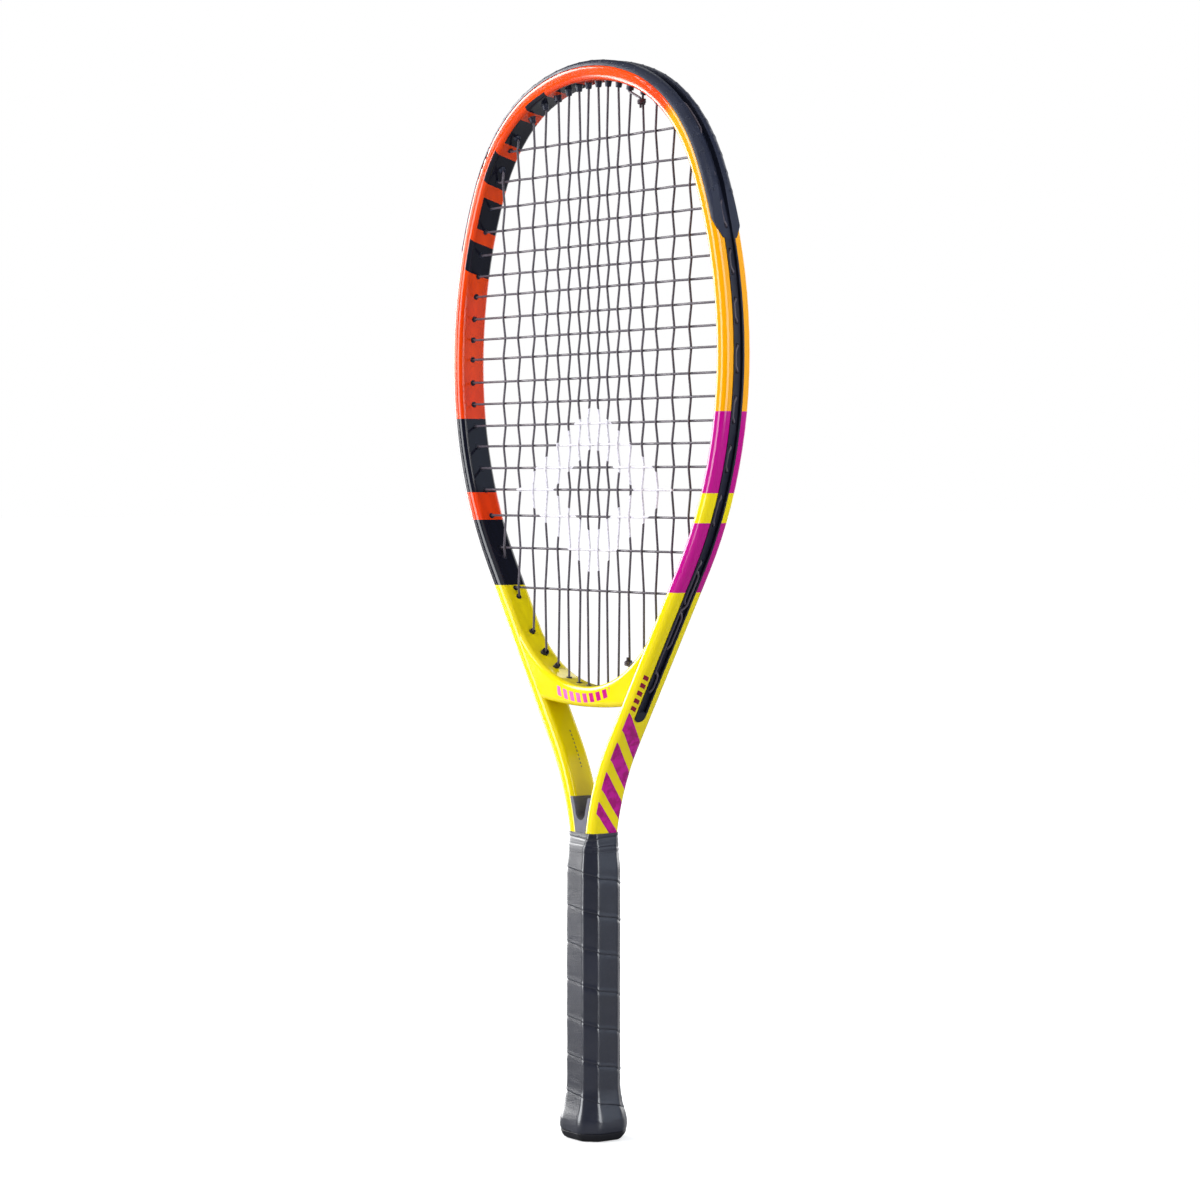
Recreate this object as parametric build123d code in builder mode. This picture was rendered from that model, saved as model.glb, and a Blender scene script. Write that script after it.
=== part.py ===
"""Junior tennis racket, 23 inches long: a bent aluminium tube, a woven string bed and a wrapped handle.

Frame: origin at the middle of the butt end, +Z up the racket to its tip, +X across the face,
+Y through the face. All sizes are in millimetres.
"""

import math
import os
from collections import namedtuple

from build123d import *

os.makedirs("parts", exist_ok=True)

# Whole racket
TOTAL_LENGTH = 584.2
FIT = 0.05  # gap between seated faces
CLEARANCE = 0.15  # gap between curved faces that only lie side by side
THROUGH = 20.0  # length of a cut that goes right through a wall

# Tube section: width lies in the racket's plane, depth runs through the face
TUBE_WIDTH = 9.0
TUBE_DEPTH = 18.0
TUBE_CORNER = 3.5
TUBE_WALL = 0.85
GROOVE_WIDTH = 6.8
GROOVE_DEPTH = 2.2
GROOVE_FLOOR = TUBE_WIDTH / 2 - GROOVE_DEPTH  # height above the tube's centre line

# Tube centre line, right half: leg, bend, straight arm, side, shoulder, corner, crown
LEG_X = 5.0
LEG_GAP_CUT = 12.0  # wide enough to clear the wrappings from between the legs
LEG_FOOT = 8.0
LEG_TOP = 141.5
BEND_RADIUS = 132.0
WIDEST_X = 125.0
WIDEST_Z = 422.0
SIDE_RADIUS = 200.0
SHOULDER_RADIUS = 225.0
CORNER_RADIUS = 97.0
CROWN_RADIUS = 142.0
BUMPER_THICKNESS = 2.1
CROWN_Z = TOTAL_LENGTH - BUMPER_THICKNESS - TUBE_WIDTH / 2

# Bumper guard and grommet strips
BUMPER_END_Z = 480.0
BUMPER_DEPTH = 17.6
BUMPER_CORNER = 4.5
BUMPER_LIP = 3.2  # the guard's lips reach down to this height above the centre line
BUMPER_TAPER = 30.0
# what the guard's pointed ends leave out: distance to either side of the middle, height over its end
BUMPER_POINT = (
    (3.7, -6.0), (3.7, 0.8), (4.6, 1.6), (7.4, 7.0), (8.4, 10.5), (9.2, 16.0), (14.0, 16.0), (14.0, -6.0),
)
STRIP_WIDTH = 6.6
STRIP_FLOOR = 0.75
STRIP_TOP = TUBE_WIDTH / 2 + 0.5
STRIP_FOOT_Z = 228.0
CHANNEL_WIDTH = 4.6
BARREL_DIAMETER = 3.1
BARREL_BORE = 1.9
TIE_BARREL_DIAMETER = 4.2  # the barrels where a second string comes through
TIE_BARREL_BORE = 3.0
HOLE_GAP = 0.15  # between a barrel and its hole, all round

# String bed
STRING_DIAMETER = 1.3
WEAVE = 0.72  # half the distance between crossing strings
MAIN_TOP_X = (4.6, 13.6, 23.3, 33.7, 45.6, 58.2, 73.4, 88.5)
MAIN_FOOT_X = (4.6, 13.6, 23.3, 33.7, 45.6, 58.2, 72.4, 87.0)
CROSS_Z = (541.7, 525.2, 510.9, 497.8, 484.8, 473.0, 461.5, 448.8, 436.9, 425.7,
           412.5, 400.2, 387.7, 376.1, 363.7, 351.6, 337.0, 318.9, 296.8)
# mains on the right, counted from the middle: the one an end comes out beside, and the one it is tied to
TOP_EXIT, TOP_TIE = 3, 4
FOOT_EXIT, FOOT_TIE = 4, 3
LANE = 1.5  # strings in the channel run this far to one side of its middle
LANE_HEIGHT = GROOVE_FLOOR + STRIP_FLOOR + STRING_DIAMETER / 2 + 0.2
TIE_SPREAD = 0.75
TIE_TAIL = 6.5
KNOT_GAP = 1.9  # from a barrel's mouth to the hitch below or above it
KNOT_SLACK = 0.5  # how much wider a hitch is than three strings side by side
MOUTH_GAP = 0.6  # a string turns this far beyond the end of its barrel
LONG_BARREL = 3.2  # how far the top barrels stand out of the tube's inner face
CORNER_BARREL = 1.5
SHORT_BARREL = 0.2
BRIDGE_BARREL = 0.4
ARM_BARREL = 3.0

# Throat bridge
BRIDGE_ARCH_RADIUS = 79.3
BRIDGE_ARCH_Z = 324.3
BRIDGE_FOOT_Z = 234.0
BRIDGE_CORNER_Z = 236.5
BRIDGE_DEPTH = 17.2
BRIDGE_EDGE = 3.0
BRIDGE_REACH = 61.0
BRIDGE_RECESS = (56.0, 6.8, 3.2)
BRIDGE_STRIP_LENGTH = 55.0
BRIDGE_CEILING = BRIDGE_FOOT_Z + BRIDGE_RECESS[2]
BRIDGE_LANE_Z = BRIDGE_CEILING - STRIP_FLOOR - STRING_DIAMETER / 2 - 0.15
RIVET_STATION = -87.0
RIVET_SHANK = 3.0
RIVET_HEAD = 5.0
RIVET_REACH = 12.5

# Handle: an octagon, with its flare as (height, growth on each side)
GRIP_WIDTH = 27.3
GRIP_DEPTH = 25.0
GRIP_BEVEL = 6.0
TAPE_THICKNESS = 1.8
TAPE_FOOT = 4.5
TAPE_TOP = 157.0
FLARE = ((TAPE_FOOT, 3.3), (8.0, 3.75), (12.5, 3.3), (18.0, 1.6), (24.0, 0.5), (30.0, 0.0))
PALLET_FOOT = 3.0
PALLET_TOP = 150.0
TAPE_SLIM = -0.9  # growth at the tape's top, where it runs in over the pallets' end
CAP_RIM = ((0.0, -1.0), (2.0, 2.2), (TAPE_FOOT, 3.3))
CAP_COLLAR = ((TAPE_FOOT, 1.9), (12.5, 1.9), (18.0, 0.1), (22.0, -0.8))
PLATE_SIZE = (16.0, 14.0, 1.1)
FINISH_TOP = 166.0
FINISH_TOP_SIZE = (24.6, 20.0, 2.0)
STAPLE_WIRE = 0.8
STAPLE_CROWN = 8.0
STAPLE_LEG = 2.9
STAPLE_Z = 18.0

# Throat plug: its outline's right half reaches into the legs, which are then cut out of it
PLUG_OUTLINE = ((2.9, 151.0), (5.4, 166.0), (8.7, 180.0), (10.5, 185.0))
PLUG_DEPTH = 17.6
VALLEY_RADIUS = 4.4
VALLEY_Z = 177.0
VALLEY_FLARE = 4.2  # the valley's sides lean out by this much over the rise
VALLEY_RISE = 13.0

Port = namedtuple("Port", "station mouth normal inset")


# ---- the tube's centre line -------------------------------------------------------------------

def arm_angle():
    """Angle from the vertical of the straight arm that is tangent to the bend and to the side arc."""
    across = LEG_X + BEND_RADIUS - (WIDEST_X - SIDE_RADIUS)
    up = WIDEST_Z - LEG_TOP
    return math.atan2(up, across) - math.acos((BEND_RADIUS + SIDE_RADIUS) / math.hypot(across, up))


def corner_centre():
    """Centre of the corner arc, tangent inside both the shoulder arc and the crown arc."""
    shoulder = (WIDEST_X - SHOULDER_RADIUS, WIDEST_Z)
    crown = (0.0, CROWN_Z - CROWN_RADIUS)
    apart = math.dist(shoulder, crown)
    ux, uz = (crown[0] - shoulder[0]) / apart, (crown[1] - shoulder[1]) / apart
    first, second = SHOULDER_RADIUS - CORNER_RADIUS, CROWN_RADIUS - CORNER_RADIUS
    along_line = (first**2 - second**2 + apart**2) / (2 * apart)
    off_line = math.sqrt(first**2 - along_line**2)
    return (shoulder[0] + along_line * ux - off_line * uz, shoulder[1] + along_line * uz + off_line * ux)


def hoop_arcs():
    """The right half of the hoop as (centre x, centre z, radius, start angle, end angle)."""
    corner_x, corner_z = corner_centre()
    shoulder_x = WIDEST_X - SHOULDER_RADIUS
    crown_z = CROWN_Z - CROWN_RADIUS
    low = math.atan2(corner_z - WIDEST_Z, corner_x - shoulder_x)
    high = math.atan2(corner_z - crown_z, corner_x)
    return (
        (WIDEST_X - SIDE_RADIUS, WIDEST_Z, SIDE_RADIUS, -ARM_ANGLE, 0.0),
        (shoulder_x, WIDEST_Z, SHOULDER_RADIUS, 0.0, low),
        (corner_x, corner_z, CORNER_RADIUS, low, high),
        (0.0, crown_z, CROWN_RADIUS, high, math.pi / 2),
    )


ARM_ANGLE = arm_angle()
ARM_UP = (math.sin(ARM_ANGLE), math.cos(ARM_ANGLE))
ARM_OUT = (math.cos(ARM_ANGLE), -math.sin(ARM_ANGLE))
ARM_TOP = (WIDEST_X - SIDE_RADIUS + SIDE_RADIUS * ARM_OUT[0], WIDEST_Z + SIDE_RADIUS * ARM_OUT[1])
BEND_END = (LEG_X + BEND_RADIUS - BEND_RADIUS * ARM_OUT[0], LEG_TOP - BEND_RADIUS * ARM_OUT[1])
HOOP_ARCS = hoop_arcs()
CROWN_STATION = sum(radius * (end - start) for _, _, radius, start, end in HOOP_ARCS)


def along(station, height=0.0):
    """Point at a height above the centre line, and the outward normal there.

    Stations are millimetres along the right half, zero where the straight arm meets the side arc.
    """
    if station <= 0:
        point, normal = (ARM_TOP[0] + station * ARM_UP[0], ARM_TOP[1] + station * ARM_UP[1]), ARM_OUT
    else:
        left = station
        for cx, cz, radius, start, end in HOOP_ARCS:
            if left <= radius * (end - start) + 1e-9:
                break
            left -= radius * (end - start)
        angle = start + left / radius
        normal = (math.cos(angle), math.sin(angle))
        point = (cx + radius * normal[0], cz + radius * normal[1])
    return (point[0] + height * normal[0], point[1] + height * normal[1]), normal


def run_edges(first, last):
    """The centre line between two stations: two points for a straight, three for an arc."""
    joints, station = [first], 0.0
    for _, _, radius, start, end in HOOP_ARCS:
        if first < station < last:
            joints.append(station)
        station += radius * (end - start)
    joints.append(last)
    edges = []
    for a, b in zip(joints, joints[1:]):
        middle = [] if b <= 0 else [along((a + b) / 2)[0]]
        edges.append([along(a)[0], *middle, along(b)[0]])
    return edges


def leg_edges():
    """The right leg and its bend, from the foot up to the straight arm."""
    half = ARM_ANGLE / 2
    middle = (LEG_X + BEND_RADIUS * (1 - math.cos(half)), LEG_TOP + BEND_RADIUS * math.sin(half))
    foot, top = (LEG_X, LEG_FOOT), (LEG_X, LEG_TOP)
    return [[foot, top], [top, middle, BEND_END]]


def over_the_top(edges):
    """A right half's edges, run up the left side and down the right side."""
    up = [[(-x, z) for x, z in points] for points in edges]
    down = [points[::-1] for points in reversed(edges)]
    return up + down


def path_of(edges):
    """Edges in the racket's plane as one path."""
    with BuildLine(Plane.XZ) as path:
        for points in edges:
            if len(points) == 2:
                Line(*points)
            else:
                ThreePointArc(*points)
    return path.line


def station_at(z, height):
    """Station where the face at a height above the centre line reaches a level, on arm or shoulder."""
    if z < ARM_TOP[1]:
        return (z - ARM_TOP[1] - height * ARM_OUT[1]) / ARM_UP[1]
    angle = math.asin((z - WIDEST_Z) / (SHOULDER_RADIUS + height))
    return SIDE_RADIUS * ARM_ANGLE + SHOULDER_RADIUS * angle


def section_plane(station, side):
    """Plane across the tube: local x points outwards, the normal points up the racket."""
    (x, z), (nx, nz) = along(station)
    return Plane(origin=(side * x, 0, z), x_dir=(side * nx, 0, nz), z_dir=(-side * nz, 0, nx))


def inward_plane(station, side, height):
    """Plane on the tube's axis line at a height above it, facing into the hoop."""
    (x, z), (nx, nz) = along(station, height)
    return Plane(origin=(side * x, 0, z), x_dir=(0, 1, 0), z_dir=(-side * nx, 0, -nz))


# ---- where the strings pass through the frame ---------------------------------------------------

def port(inset, x=None, z=None, top=False):
    """Where a line at one x or one z meets the right half's centre line moved inwards by inset."""
    station = 0.0
    for cx, cz, radius, start, end in HOOP_ARCS:
        reach = radius - inset
        ratio = (x - cx) / reach if z is None else (z - cz) / reach
        if abs(ratio) <= 1:
            angle = math.asin(ratio) if z is not None else math.acos(ratio) * (1 if top else -1)
            if start <= angle <= end:
                normal = (math.cos(angle), math.sin(angle))
                mouth = (cx + reach * normal[0], cz + reach * normal[1])
                return Port(station + radius * (angle - start), mouth, normal, inset)
        station += radius * (end - start)
    base = (ARM_TOP[0] - ARM_OUT[0] * inset, ARM_TOP[1] - ARM_OUT[1] * inset)
    step = (x - base[0]) / ARM_UP[0] if z is None else (z - base[1]) / ARM_UP[1]
    return Port(step, (base[0] + step * ARM_UP[0], base[1] + step * ARM_UP[1]), ARM_OUT, inset)


def arch_z(x):
    """Height of the bridge's arch."""
    return BRIDGE_ARCH_Z - math.sqrt(BRIDGE_ARCH_RADIUS**2 - x**2)


def arm_port(x):
    """A main that goes through the bridge's end and on through the arm."""
    mouth = (x, arch_z(x) + ARM_BARREL)
    offset = (mouth[0] - ARM_TOP[0], mouth[1] - ARM_TOP[1])
    station = offset[0] * ARM_UP[0] + offset[1] * ARM_UP[1]
    inset = -(offset[0] * ARM_OUT[0] + offset[1] * ARM_OUT[1])
    return Port(station, mouth, ARM_OUT, inset)


def bridge_port(x):
    """A main that goes straight down through the bridge."""
    return Port(None, (x, arch_z(x) + BRIDGE_BARREL + MOUTH_GAP), (0.0, -1.0), 0.0)


def hoop_inset(barrel):
    return TUBE_WIDTH / 2 + barrel + MOUTH_GAP


TOP_PORTS = [port(hoop_inset(LONG_BARREL if x < 60 else CORNER_BARREL), x=x, top=True) for x in MAIN_TOP_X]
CROSS_PORTS = [port(hoop_inset(SHORT_BARREL), z=z) for z in CROSS_Z]
BRIDGE_PORTS = [bridge_port(x) for x in MAIN_FOOT_X[:3]]
FOOT_PORTS = (
    BRIDGE_PORTS
    + [arm_port(x) for x in MAIN_FOOT_X[3:6]]
    + [port(hoop_inset(SHORT_BARREL), x=x) for x in MAIN_FOOT_X[6:]]
)
BUMPER_STATION = station_at(BUMPER_END_Z, 0)
STRIP_STATION = station_at(STRIP_FOOT_Z, TUBE_WIDTH / 2) + STRIP_WIDTH / 2
HOOP_PORTS = TOP_PORTS + CROSS_PORTS + FOOT_PORTS[3:]
BUMPER_PORTS = [p for p in HOOP_PORTS if p.station > BUMPER_STATION]
STRIP_PORTS = [p for p in HOOP_PORTS if p.station < BUMPER_STATION]
TIE_PORTS = (TOP_PORTS[TOP_EXIT], FOOT_PORTS[FOOT_EXIT])


def barrel_size(this_port):
    """Outer and bore diameters of a port's barrel."""
    if this_port in TIE_PORTS:
        return TIE_BARREL_DIAMETER, TIE_BARREL_BORE
    return BARREL_DIAMETER, BARREL_BORE


def barrels(ports, sides):
    """Barrels from the strip's floor through the tube, not yet bored."""
    with BuildPart() as solid:
        for side in sides:
            for this_port in ports:
                with BuildSketch(inward_plane(this_port.station, side, GROOVE_FLOOR + FIT)):
                    Circle(barrel_size(this_port)[0] / 2)
                extrude(amount=this_port.inset - MOUTH_GAP + GROOVE_FLOOR + FIT)
    return solid.part


def pins(ports, sides, reach, diameter):
    """Round pins through the ports, from outside the tube to a reach inside its centre line."""
    start = TUBE_WIDTH / 2 + 1
    with BuildPart() as solid:
        for side in sides:
            for this_port in ports:
                with BuildSketch(inward_plane(this_port.station, side, start)):
                    Circle(diameter(this_port) / 2)
                extrude(amount=start + reach)
    return solid.part


def bore_of(this_port):
    return barrel_size(this_port)[1]


def hole_for(this_port):
    return barrel_size(this_port)[0] + 2 * HOLE_GAP


# ---- shared solids ----------------------------------------------------------------------------

FOOT_PLANE = Plane(origin=(-LEG_X, 0, LEG_FOOT), x_dir=(-1, 0, 0), z_dir=(0, 0, 1))
FULL_PATH = path_of(
    over_the_top(leg_edges() + run_edges(-math.dist(ARM_TOP, BEND_END), CROWN_STATION))
)

with BuildPart() as tube_envelope:
    with BuildSketch(FOOT_PLANE):
        grown = 2 * CLEARANCE
        RectangleRounded(TUBE_WIDTH + grown, TUBE_DEPTH + grown, TUBE_CORNER + CLEARANCE)
    sweep(path=FULL_PATH)

with BuildPart() as rivets:
    for side in (-1, 1):
        head = inward_plane(RIVET_STATION, side, GROOVE_FLOOR)
        taper_end = inward_plane(RIVET_STATION, side, GROOVE_FLOOR - 1)
        with BuildSketch(head):
            Circle(RIVET_HEAD / 2)
        with BuildSketch(taper_end):
            Circle(RIVET_SHANK / 2)
        loft()
        with BuildSketch(taper_end):
            Circle(RIVET_SHANK / 2)
        extrude(amount=GROOVE_FLOOR - 1 + RIVET_REACH)


def octagon(growth, width=GRIP_WIDTH, depth=GRIP_DEPTH, bevel=GRIP_BEVEL):
    """The handle's octagon with every face moved out by growth."""
    x, y = width / 2 + growth, depth / 2 + growth
    cut = bevel + growth * (2 - math.sqrt(2))
    Polygon(
        (x, y - cut), (x - cut, y), (cut - x, y), (-x, y - cut),
        (-x, cut - y), (cut - x, -y), (x - cut, -y), (x, cut - y),
        align=None,
    )


def stacked(levels):
    """Straight-sided octagon lengths between (height, growth) levels."""
    with BuildPart() as solid:
        for (low, low_growth), (high, high_growth) in zip(levels, levels[1:]):
            with BuildSketch(Plane.XY.offset(low)):
                octagon(low_growth)
            with BuildSketch(Plane.XY.offset(high)):
                octagon(high_growth)
            loft()
    return solid.part


# ---- frame --------------------------------------------------------------------------------------

with BuildPart() as frame_tube:
    with BuildSketch(FOOT_PLANE):
        RectangleRounded(TUBE_WIDTH, TUBE_DEPTH, TUBE_CORNER)
    sweep(path=FULL_PATH)
    # hollow inside, drawn in behind the groove
    with BuildSketch(FOOT_PLANE):
        inner = 2 * TUBE_WALL
        RectangleRounded(TUBE_WIDTH - inner, TUBE_DEPTH - inner, TUBE_CORNER - TUBE_WALL)
        with Locations((GROOVE_FLOOR - TUBE_WALL, 0)):
            Rectangle(
                TUBE_WIDTH, GROOVE_WIDTH + inner, align=(Align.MIN, Align.CENTER), mode=Mode.SUBTRACT
            )
    sweep(path=FULL_PATH, mode=Mode.SUBTRACT)
    # groove for the strips, with a round end on each arm
    with BuildSketch(section_plane(STRIP_STATION, -1)):
        with Locations((GROOVE_FLOOR, 0)):
            Rectangle(TUBE_WIDTH, GROOVE_WIDTH, align=(Align.MIN, Align.CENTER))
    sweep(path=path_of(over_the_top(run_edges(STRIP_STATION, CROWN_STATION))), mode=Mode.SUBTRACT)
    with BuildSketch(*[inward_plane(STRIP_STATION, side, TUBE_WIDTH) for side in (-1, 1)]):
        Circle(GROOVE_WIDTH / 2)
    extrude(amount=TUBE_WIDTH - GROOVE_FLOOR, mode=Mode.SUBTRACT)
    add(pins(HOOP_PORTS, (-1, 1), TUBE_WIDTH / 2 + 2, hole_for), mode=Mode.SUBTRACT)
    add(rivets.part, mode=Mode.SUBTRACT)
frame_tube.part.label = "frame_tube"

with BuildPart() as throat_bridge:
    with BuildSketch(Plane.XZ):
        with BuildLine():
            # both ends stop inside the arms and are cut off by their envelope
            tip = (BRIDGE_REACH, arch_z(BRIDGE_REACH))
            upper, lower = (along(station_at(z, 0))[0] for z in (tip[1], BRIDGE_CORNER_Z))
            ThreePointArc((-tip[0], tip[1]), (0, arch_z(0)), tip)
            Polyline(tip, upper, lower)
            ThreePointArc(lower, (0, BRIDGE_FOOT_Z), (-lower[0], lower[1]))
            Polyline((-lower[0], lower[1]), (-upper[0], upper[1]), (-tip[0], tip[1]))
        make_face()
    extrude(amount=BRIDGE_DEPTH / 2, both=True)
    fillet(throat_bridge.edges().filter_by(GeomType.CIRCLE), radius=BRIDGE_EDGE)
    add(tube_envelope.part, mode=Mode.SUBTRACT)
    with BuildSketch(Plane.XY.offset(BRIDGE_FOOT_Z - 1)):
        RectangleRounded(BRIDGE_RECESS[0], BRIDGE_RECESS[1], BRIDGE_RECESS[1] / 2 - 0.1)
    extrude(amount=BRIDGE_RECESS[2] + 1, mode=Mode.SUBTRACT)
    with BuildSketch(Plane.XY.offset(BRIDGE_FOOT_Z)):
        with Locations(*[(side * x, 0) for x in MAIN_FOOT_X[:3] for side in (-1, 1)]):
            Circle(BARREL_DIAMETER / 2 + HOLE_GAP)
    extrude(amount=THROUGH, mode=Mode.SUBTRACT)
    add(pins(FOOT_PORTS[3:6], (-1, 1), 30, hole_for), mode=Mode.SUBTRACT)
    add(rivets.part, mode=Mode.SUBTRACT)
throat_bridge.part.label = "throat_bridge"

bridge_rivets = rivets
bridge_rivets.part.label = "bridge_rivets"

with BuildPart() as throat_plug:
    with BuildSketch(Plane.XZ):
        with BuildLine():
            Polyline(*PLUG_OUTLINE, *[(-x, z) for x, z in reversed(PLUG_OUTLINE)], close=True)
        make_face()
        with Locations((0, VALLEY_Z)):
            Circle(VALLEY_RADIUS, mode=Mode.SUBTRACT)
        with BuildLine():
            top_half, top_z = VALLEY_RADIUS + VALLEY_FLARE, VALLEY_Z + VALLEY_RISE
            Polyline(
                (-VALLEY_RADIUS, VALLEY_Z), (VALLEY_RADIUS, VALLEY_Z),
                (top_half, top_z), (-top_half, top_z), close=True,
            )
        make_face(mode=Mode.SUBTRACT)
    extrude(amount=PLUG_DEPTH / 2, both=True)
    add(tube_envelope.part, mode=Mode.SUBTRACT)
throat_plug.part.label = "throat_plug"

# ---- bumper guard and grommet strips --------------------------------------------------------------

with BuildPart() as bumper_guard:
    with BuildSketch(section_plane(BUMPER_STATION, -1)):
        crest = TUBE_WIDTH / 2 + BUMPER_THICKNESS
        RectangleRounded(2 * crest, BUMPER_DEPTH, BUMPER_CORNER)
        RectangleRounded(
            TUBE_WIDTH + 2 * FIT, TUBE_DEPTH + 2 * FIT, TUBE_CORNER + FIT, mode=Mode.SUBTRACT
        )
        with Locations((BUMPER_LIP, 0)):
            Rectangle(4 * crest, 2 * TUBE_DEPTH, align=(Align.MAX, Align.CENTER), mode=Mode.SUBTRACT)
        with Locations((GROOVE_FLOOR + FIT, 0)):
            Rectangle(GROOVE_DEPTH + 0.5, STRIP_WIDTH, align=(Align.MIN, Align.CENTER))
        with Locations((GROOVE_FLOOR + FIT + STRIP_FLOOR, 0)):
            Rectangle(TUBE_WIDTH, CHANNEL_WIDTH, align=(Align.MIN, Align.CENTER), mode=Mode.SUBTRACT)
    sweep(path=path_of(over_the_top(run_edges(BUMPER_STATION, CROWN_STATION))))
    # the guard thins out towards its two ends
    low, high = TUBE_WIDTH / 2 + 0.5, crest + 0.2
    wedge = [
        along(BUMPER_STATION - 2, low)[0], along(BUMPER_STATION + BUMPER_TAPER, high)[0],
        along(BUMPER_STATION + BUMPER_TAPER, 3 * high)[0], along(BUMPER_STATION - 2, 3 * high)[0],
    ]
    with BuildSketch(Plane.XZ):
        for side in (-1, 1):
            with BuildLine():
                Polyline(*[(side * x, z) for x, z in wedge], close=True)
            make_face()
    extrude(amount=TUBE_DEPTH, both=True, mode=Mode.SUBTRACT)
    # and narrows to the strip's width
    with BuildSketch(Plane.YZ):
        for face in (-1, 1):
            with BuildLine():
                Polyline(*[(face * y, BUMPER_END_Z + z) for y, z in BUMPER_POINT], close=True)
            make_face()
    extrude(amount=WIDEST_X + BUMPER_DEPTH, both=True, mode=Mode.SUBTRACT)
    add(barrels(BUMPER_PORTS, (-1, 1)))
    add(pins(BUMPER_PORTS, (-1, 1), 12, bore_of), mode=Mode.SUBTRACT)
bumper_guard.part.label = "bumper_guard"

with BuildPart() as grommet_strip_right:
    with BuildSketch(section_plane(STRIP_STATION, 1)):
        with Locations((GROOVE_FLOOR + FIT, 0)):
            Rectangle(STRIP_TOP - GROOVE_FLOOR - FIT, STRIP_WIDTH, align=(Align.MIN, Align.CENTER))
        with Locations((GROOVE_FLOOR + FIT + STRIP_FLOOR, 0)):
            Rectangle(TUBE_WIDTH, CHANNEL_WIDTH, align=(Align.MIN, Align.CENTER), mode=Mode.SUBTRACT)
    sweep(path=path_of(run_edges(STRIP_STATION, BUMPER_STATION)))
    with BuildSketch(inward_plane(STRIP_STATION, 1, STRIP_TOP)):
        Circle(STRIP_WIDTH / 2)
    extrude(amount=STRIP_TOP - GROOVE_FLOOR - FIT)
    add(barrels(STRIP_PORTS, (1,)))
    add(pins(STRIP_PORTS, (1,), 30, bore_of), mode=Mode.SUBTRACT)
grommet_strip_right.part.label = "grommet_strip_right"

with BuildPart() as grommet_strip_left:
    mirror(grommet_strip_right.part, about=Plane.YZ)
grommet_strip_left.part.label = "grommet_strip_left"

with BuildPart() as bridge_grommet_strip:
    with BuildSketch(Plane.XY.offset(BRIDGE_CEILING - FIT - STRIP_FLOOR)):
        RectangleRounded(BRIDGE_STRIP_LENGTH, STRIP_WIDTH, STRIP_WIDTH / 2 - 0.1)
    extrude(amount=STRIP_FLOOR)
    for x in MAIN_FOOT_X[:3]:
        with BuildSketch(Plane.XY.offset(BRIDGE_CEILING - FIT - STRIP_FLOOR)):
            with Locations((-x, 0), (x, 0)):
                Circle(BARREL_DIAMETER / 2)
        extrude(amount=arch_z(x) + BRIDGE_BARREL - BRIDGE_CEILING + FIT + STRIP_FLOOR)
    with BuildSketch(Plane.XY.offset(BRIDGE_CEILING - FIT - STRIP_FLOOR)):
        with Locations(*[(side * x, 0) for x in MAIN_FOOT_X[:3] for side in (-1, 1)]):
            Circle(BARREL_BORE / 2)
    extrude(amount=THROUGH, mode=Mode.SUBTRACT)
bridge_grommet_strip.part.label = "bridge_grommet_strip"

# ---- string -------------------------------------------------------------------------------------
# One string makes the whole bed. It is tied off on the right at the throat, runs every main from
# right to left, then every cross from the throat to the tip, and is tied off at the top right.

def main_place(number):
    """Side and place from the middle of main 1 (far left) to 16 (far right)."""
    return (-1, 8 - number) if number <= 8 else (1, number - 9)


def main_x(number, z):
    """Where a main crosses a level."""
    side, place = main_place(number)
    top, foot = TOP_PORTS[place].mouth, FOOT_PORTS[place].mouth
    share = (z - foot[1]) / (top[1] - foot[1])
    return side * (foot[0] + share * (top[0] - foot[0]))


def over(number, row):
    """+1 where the main lies behind the cross, -1 where it lies in front."""
    return -1 if (number + row) % 2 == 0 else 1


def crossings(number):
    """The rows that a main meets, from the throat up, as (row, x, z)."""
    side, place = main_place(number)
    foot, top = FOOT_PORTS[place].mouth, TOP_PORTS[place].mouth
    met = []
    for row, z in reversed(list(enumerate(CROSS_Z))):
        x = main_x(number, z)
        if foot[1] < z < top[1] and abs(x) < CROSS_PORTS[row].mouth[0] - 1:
            met.append((row, x, z))
    return met


def through(this_port, side, y=0.0):
    """A string's points from the channel to a port's mouth."""
    if this_port.station is None:
        outer = (this_port.mouth[0], BRIDGE_LANE_Z)
    else:
        outer = along(this_port.station, LANE_HEIGHT)[0]
    return [(side * outer[0], y, outer[1]), (side * this_port.mouth[0], y, this_port.mouth[1])]


def main_points(number):
    """One main from the throat's channel to the tip's channel."""
    side, place = main_place(number)
    foot_y = TIE_SPREAD if (side, place) == (1, FOOT_EXIT) else 0.0
    top_y = TIE_SPREAD if (side, place) == (1, TOP_EXIT) else 0.0
    points = through(FOOT_PORTS[place], side, foot_y)
    points += [(x, WEAVE * over(number, row), z) for row, x, z in crossings(number)]
    return points + through(TOP_PORTS[place], side, top_y)[::-1]


def cross_points(row):
    """One cross from the left channel to the right channel."""
    this_port = CROSS_PORTS[row]
    met = []
    for number in range(1, 17):
        met += [(x, -WEAVE * over(number, row), z) for met_row, x, z in crossings(number) if met_row == row]
    return through(this_port, -1) + sorted(met) + through(this_port, 1)[::-1]


def lane_points(start, end, side, y):
    """Points along the channel, clear of both ends, between two stations."""
    way = 1 if end > start else -1
    lead = min(3.0, 0.3 * abs(end - start))
    first, last = start + way * lead, end - way * lead
    stations = [first]
    count = max(1, round(abs(last - first) / 7)) if min(first, last) > 0 else 1
    stations += [first + (last - first) * i / count for i in range(1, count)]
    stations.append(last)
    places = [along(s, LANE_HEIGHT)[0] for s in stations]
    return [(side * x, y, z) for x, z in places]


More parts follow.
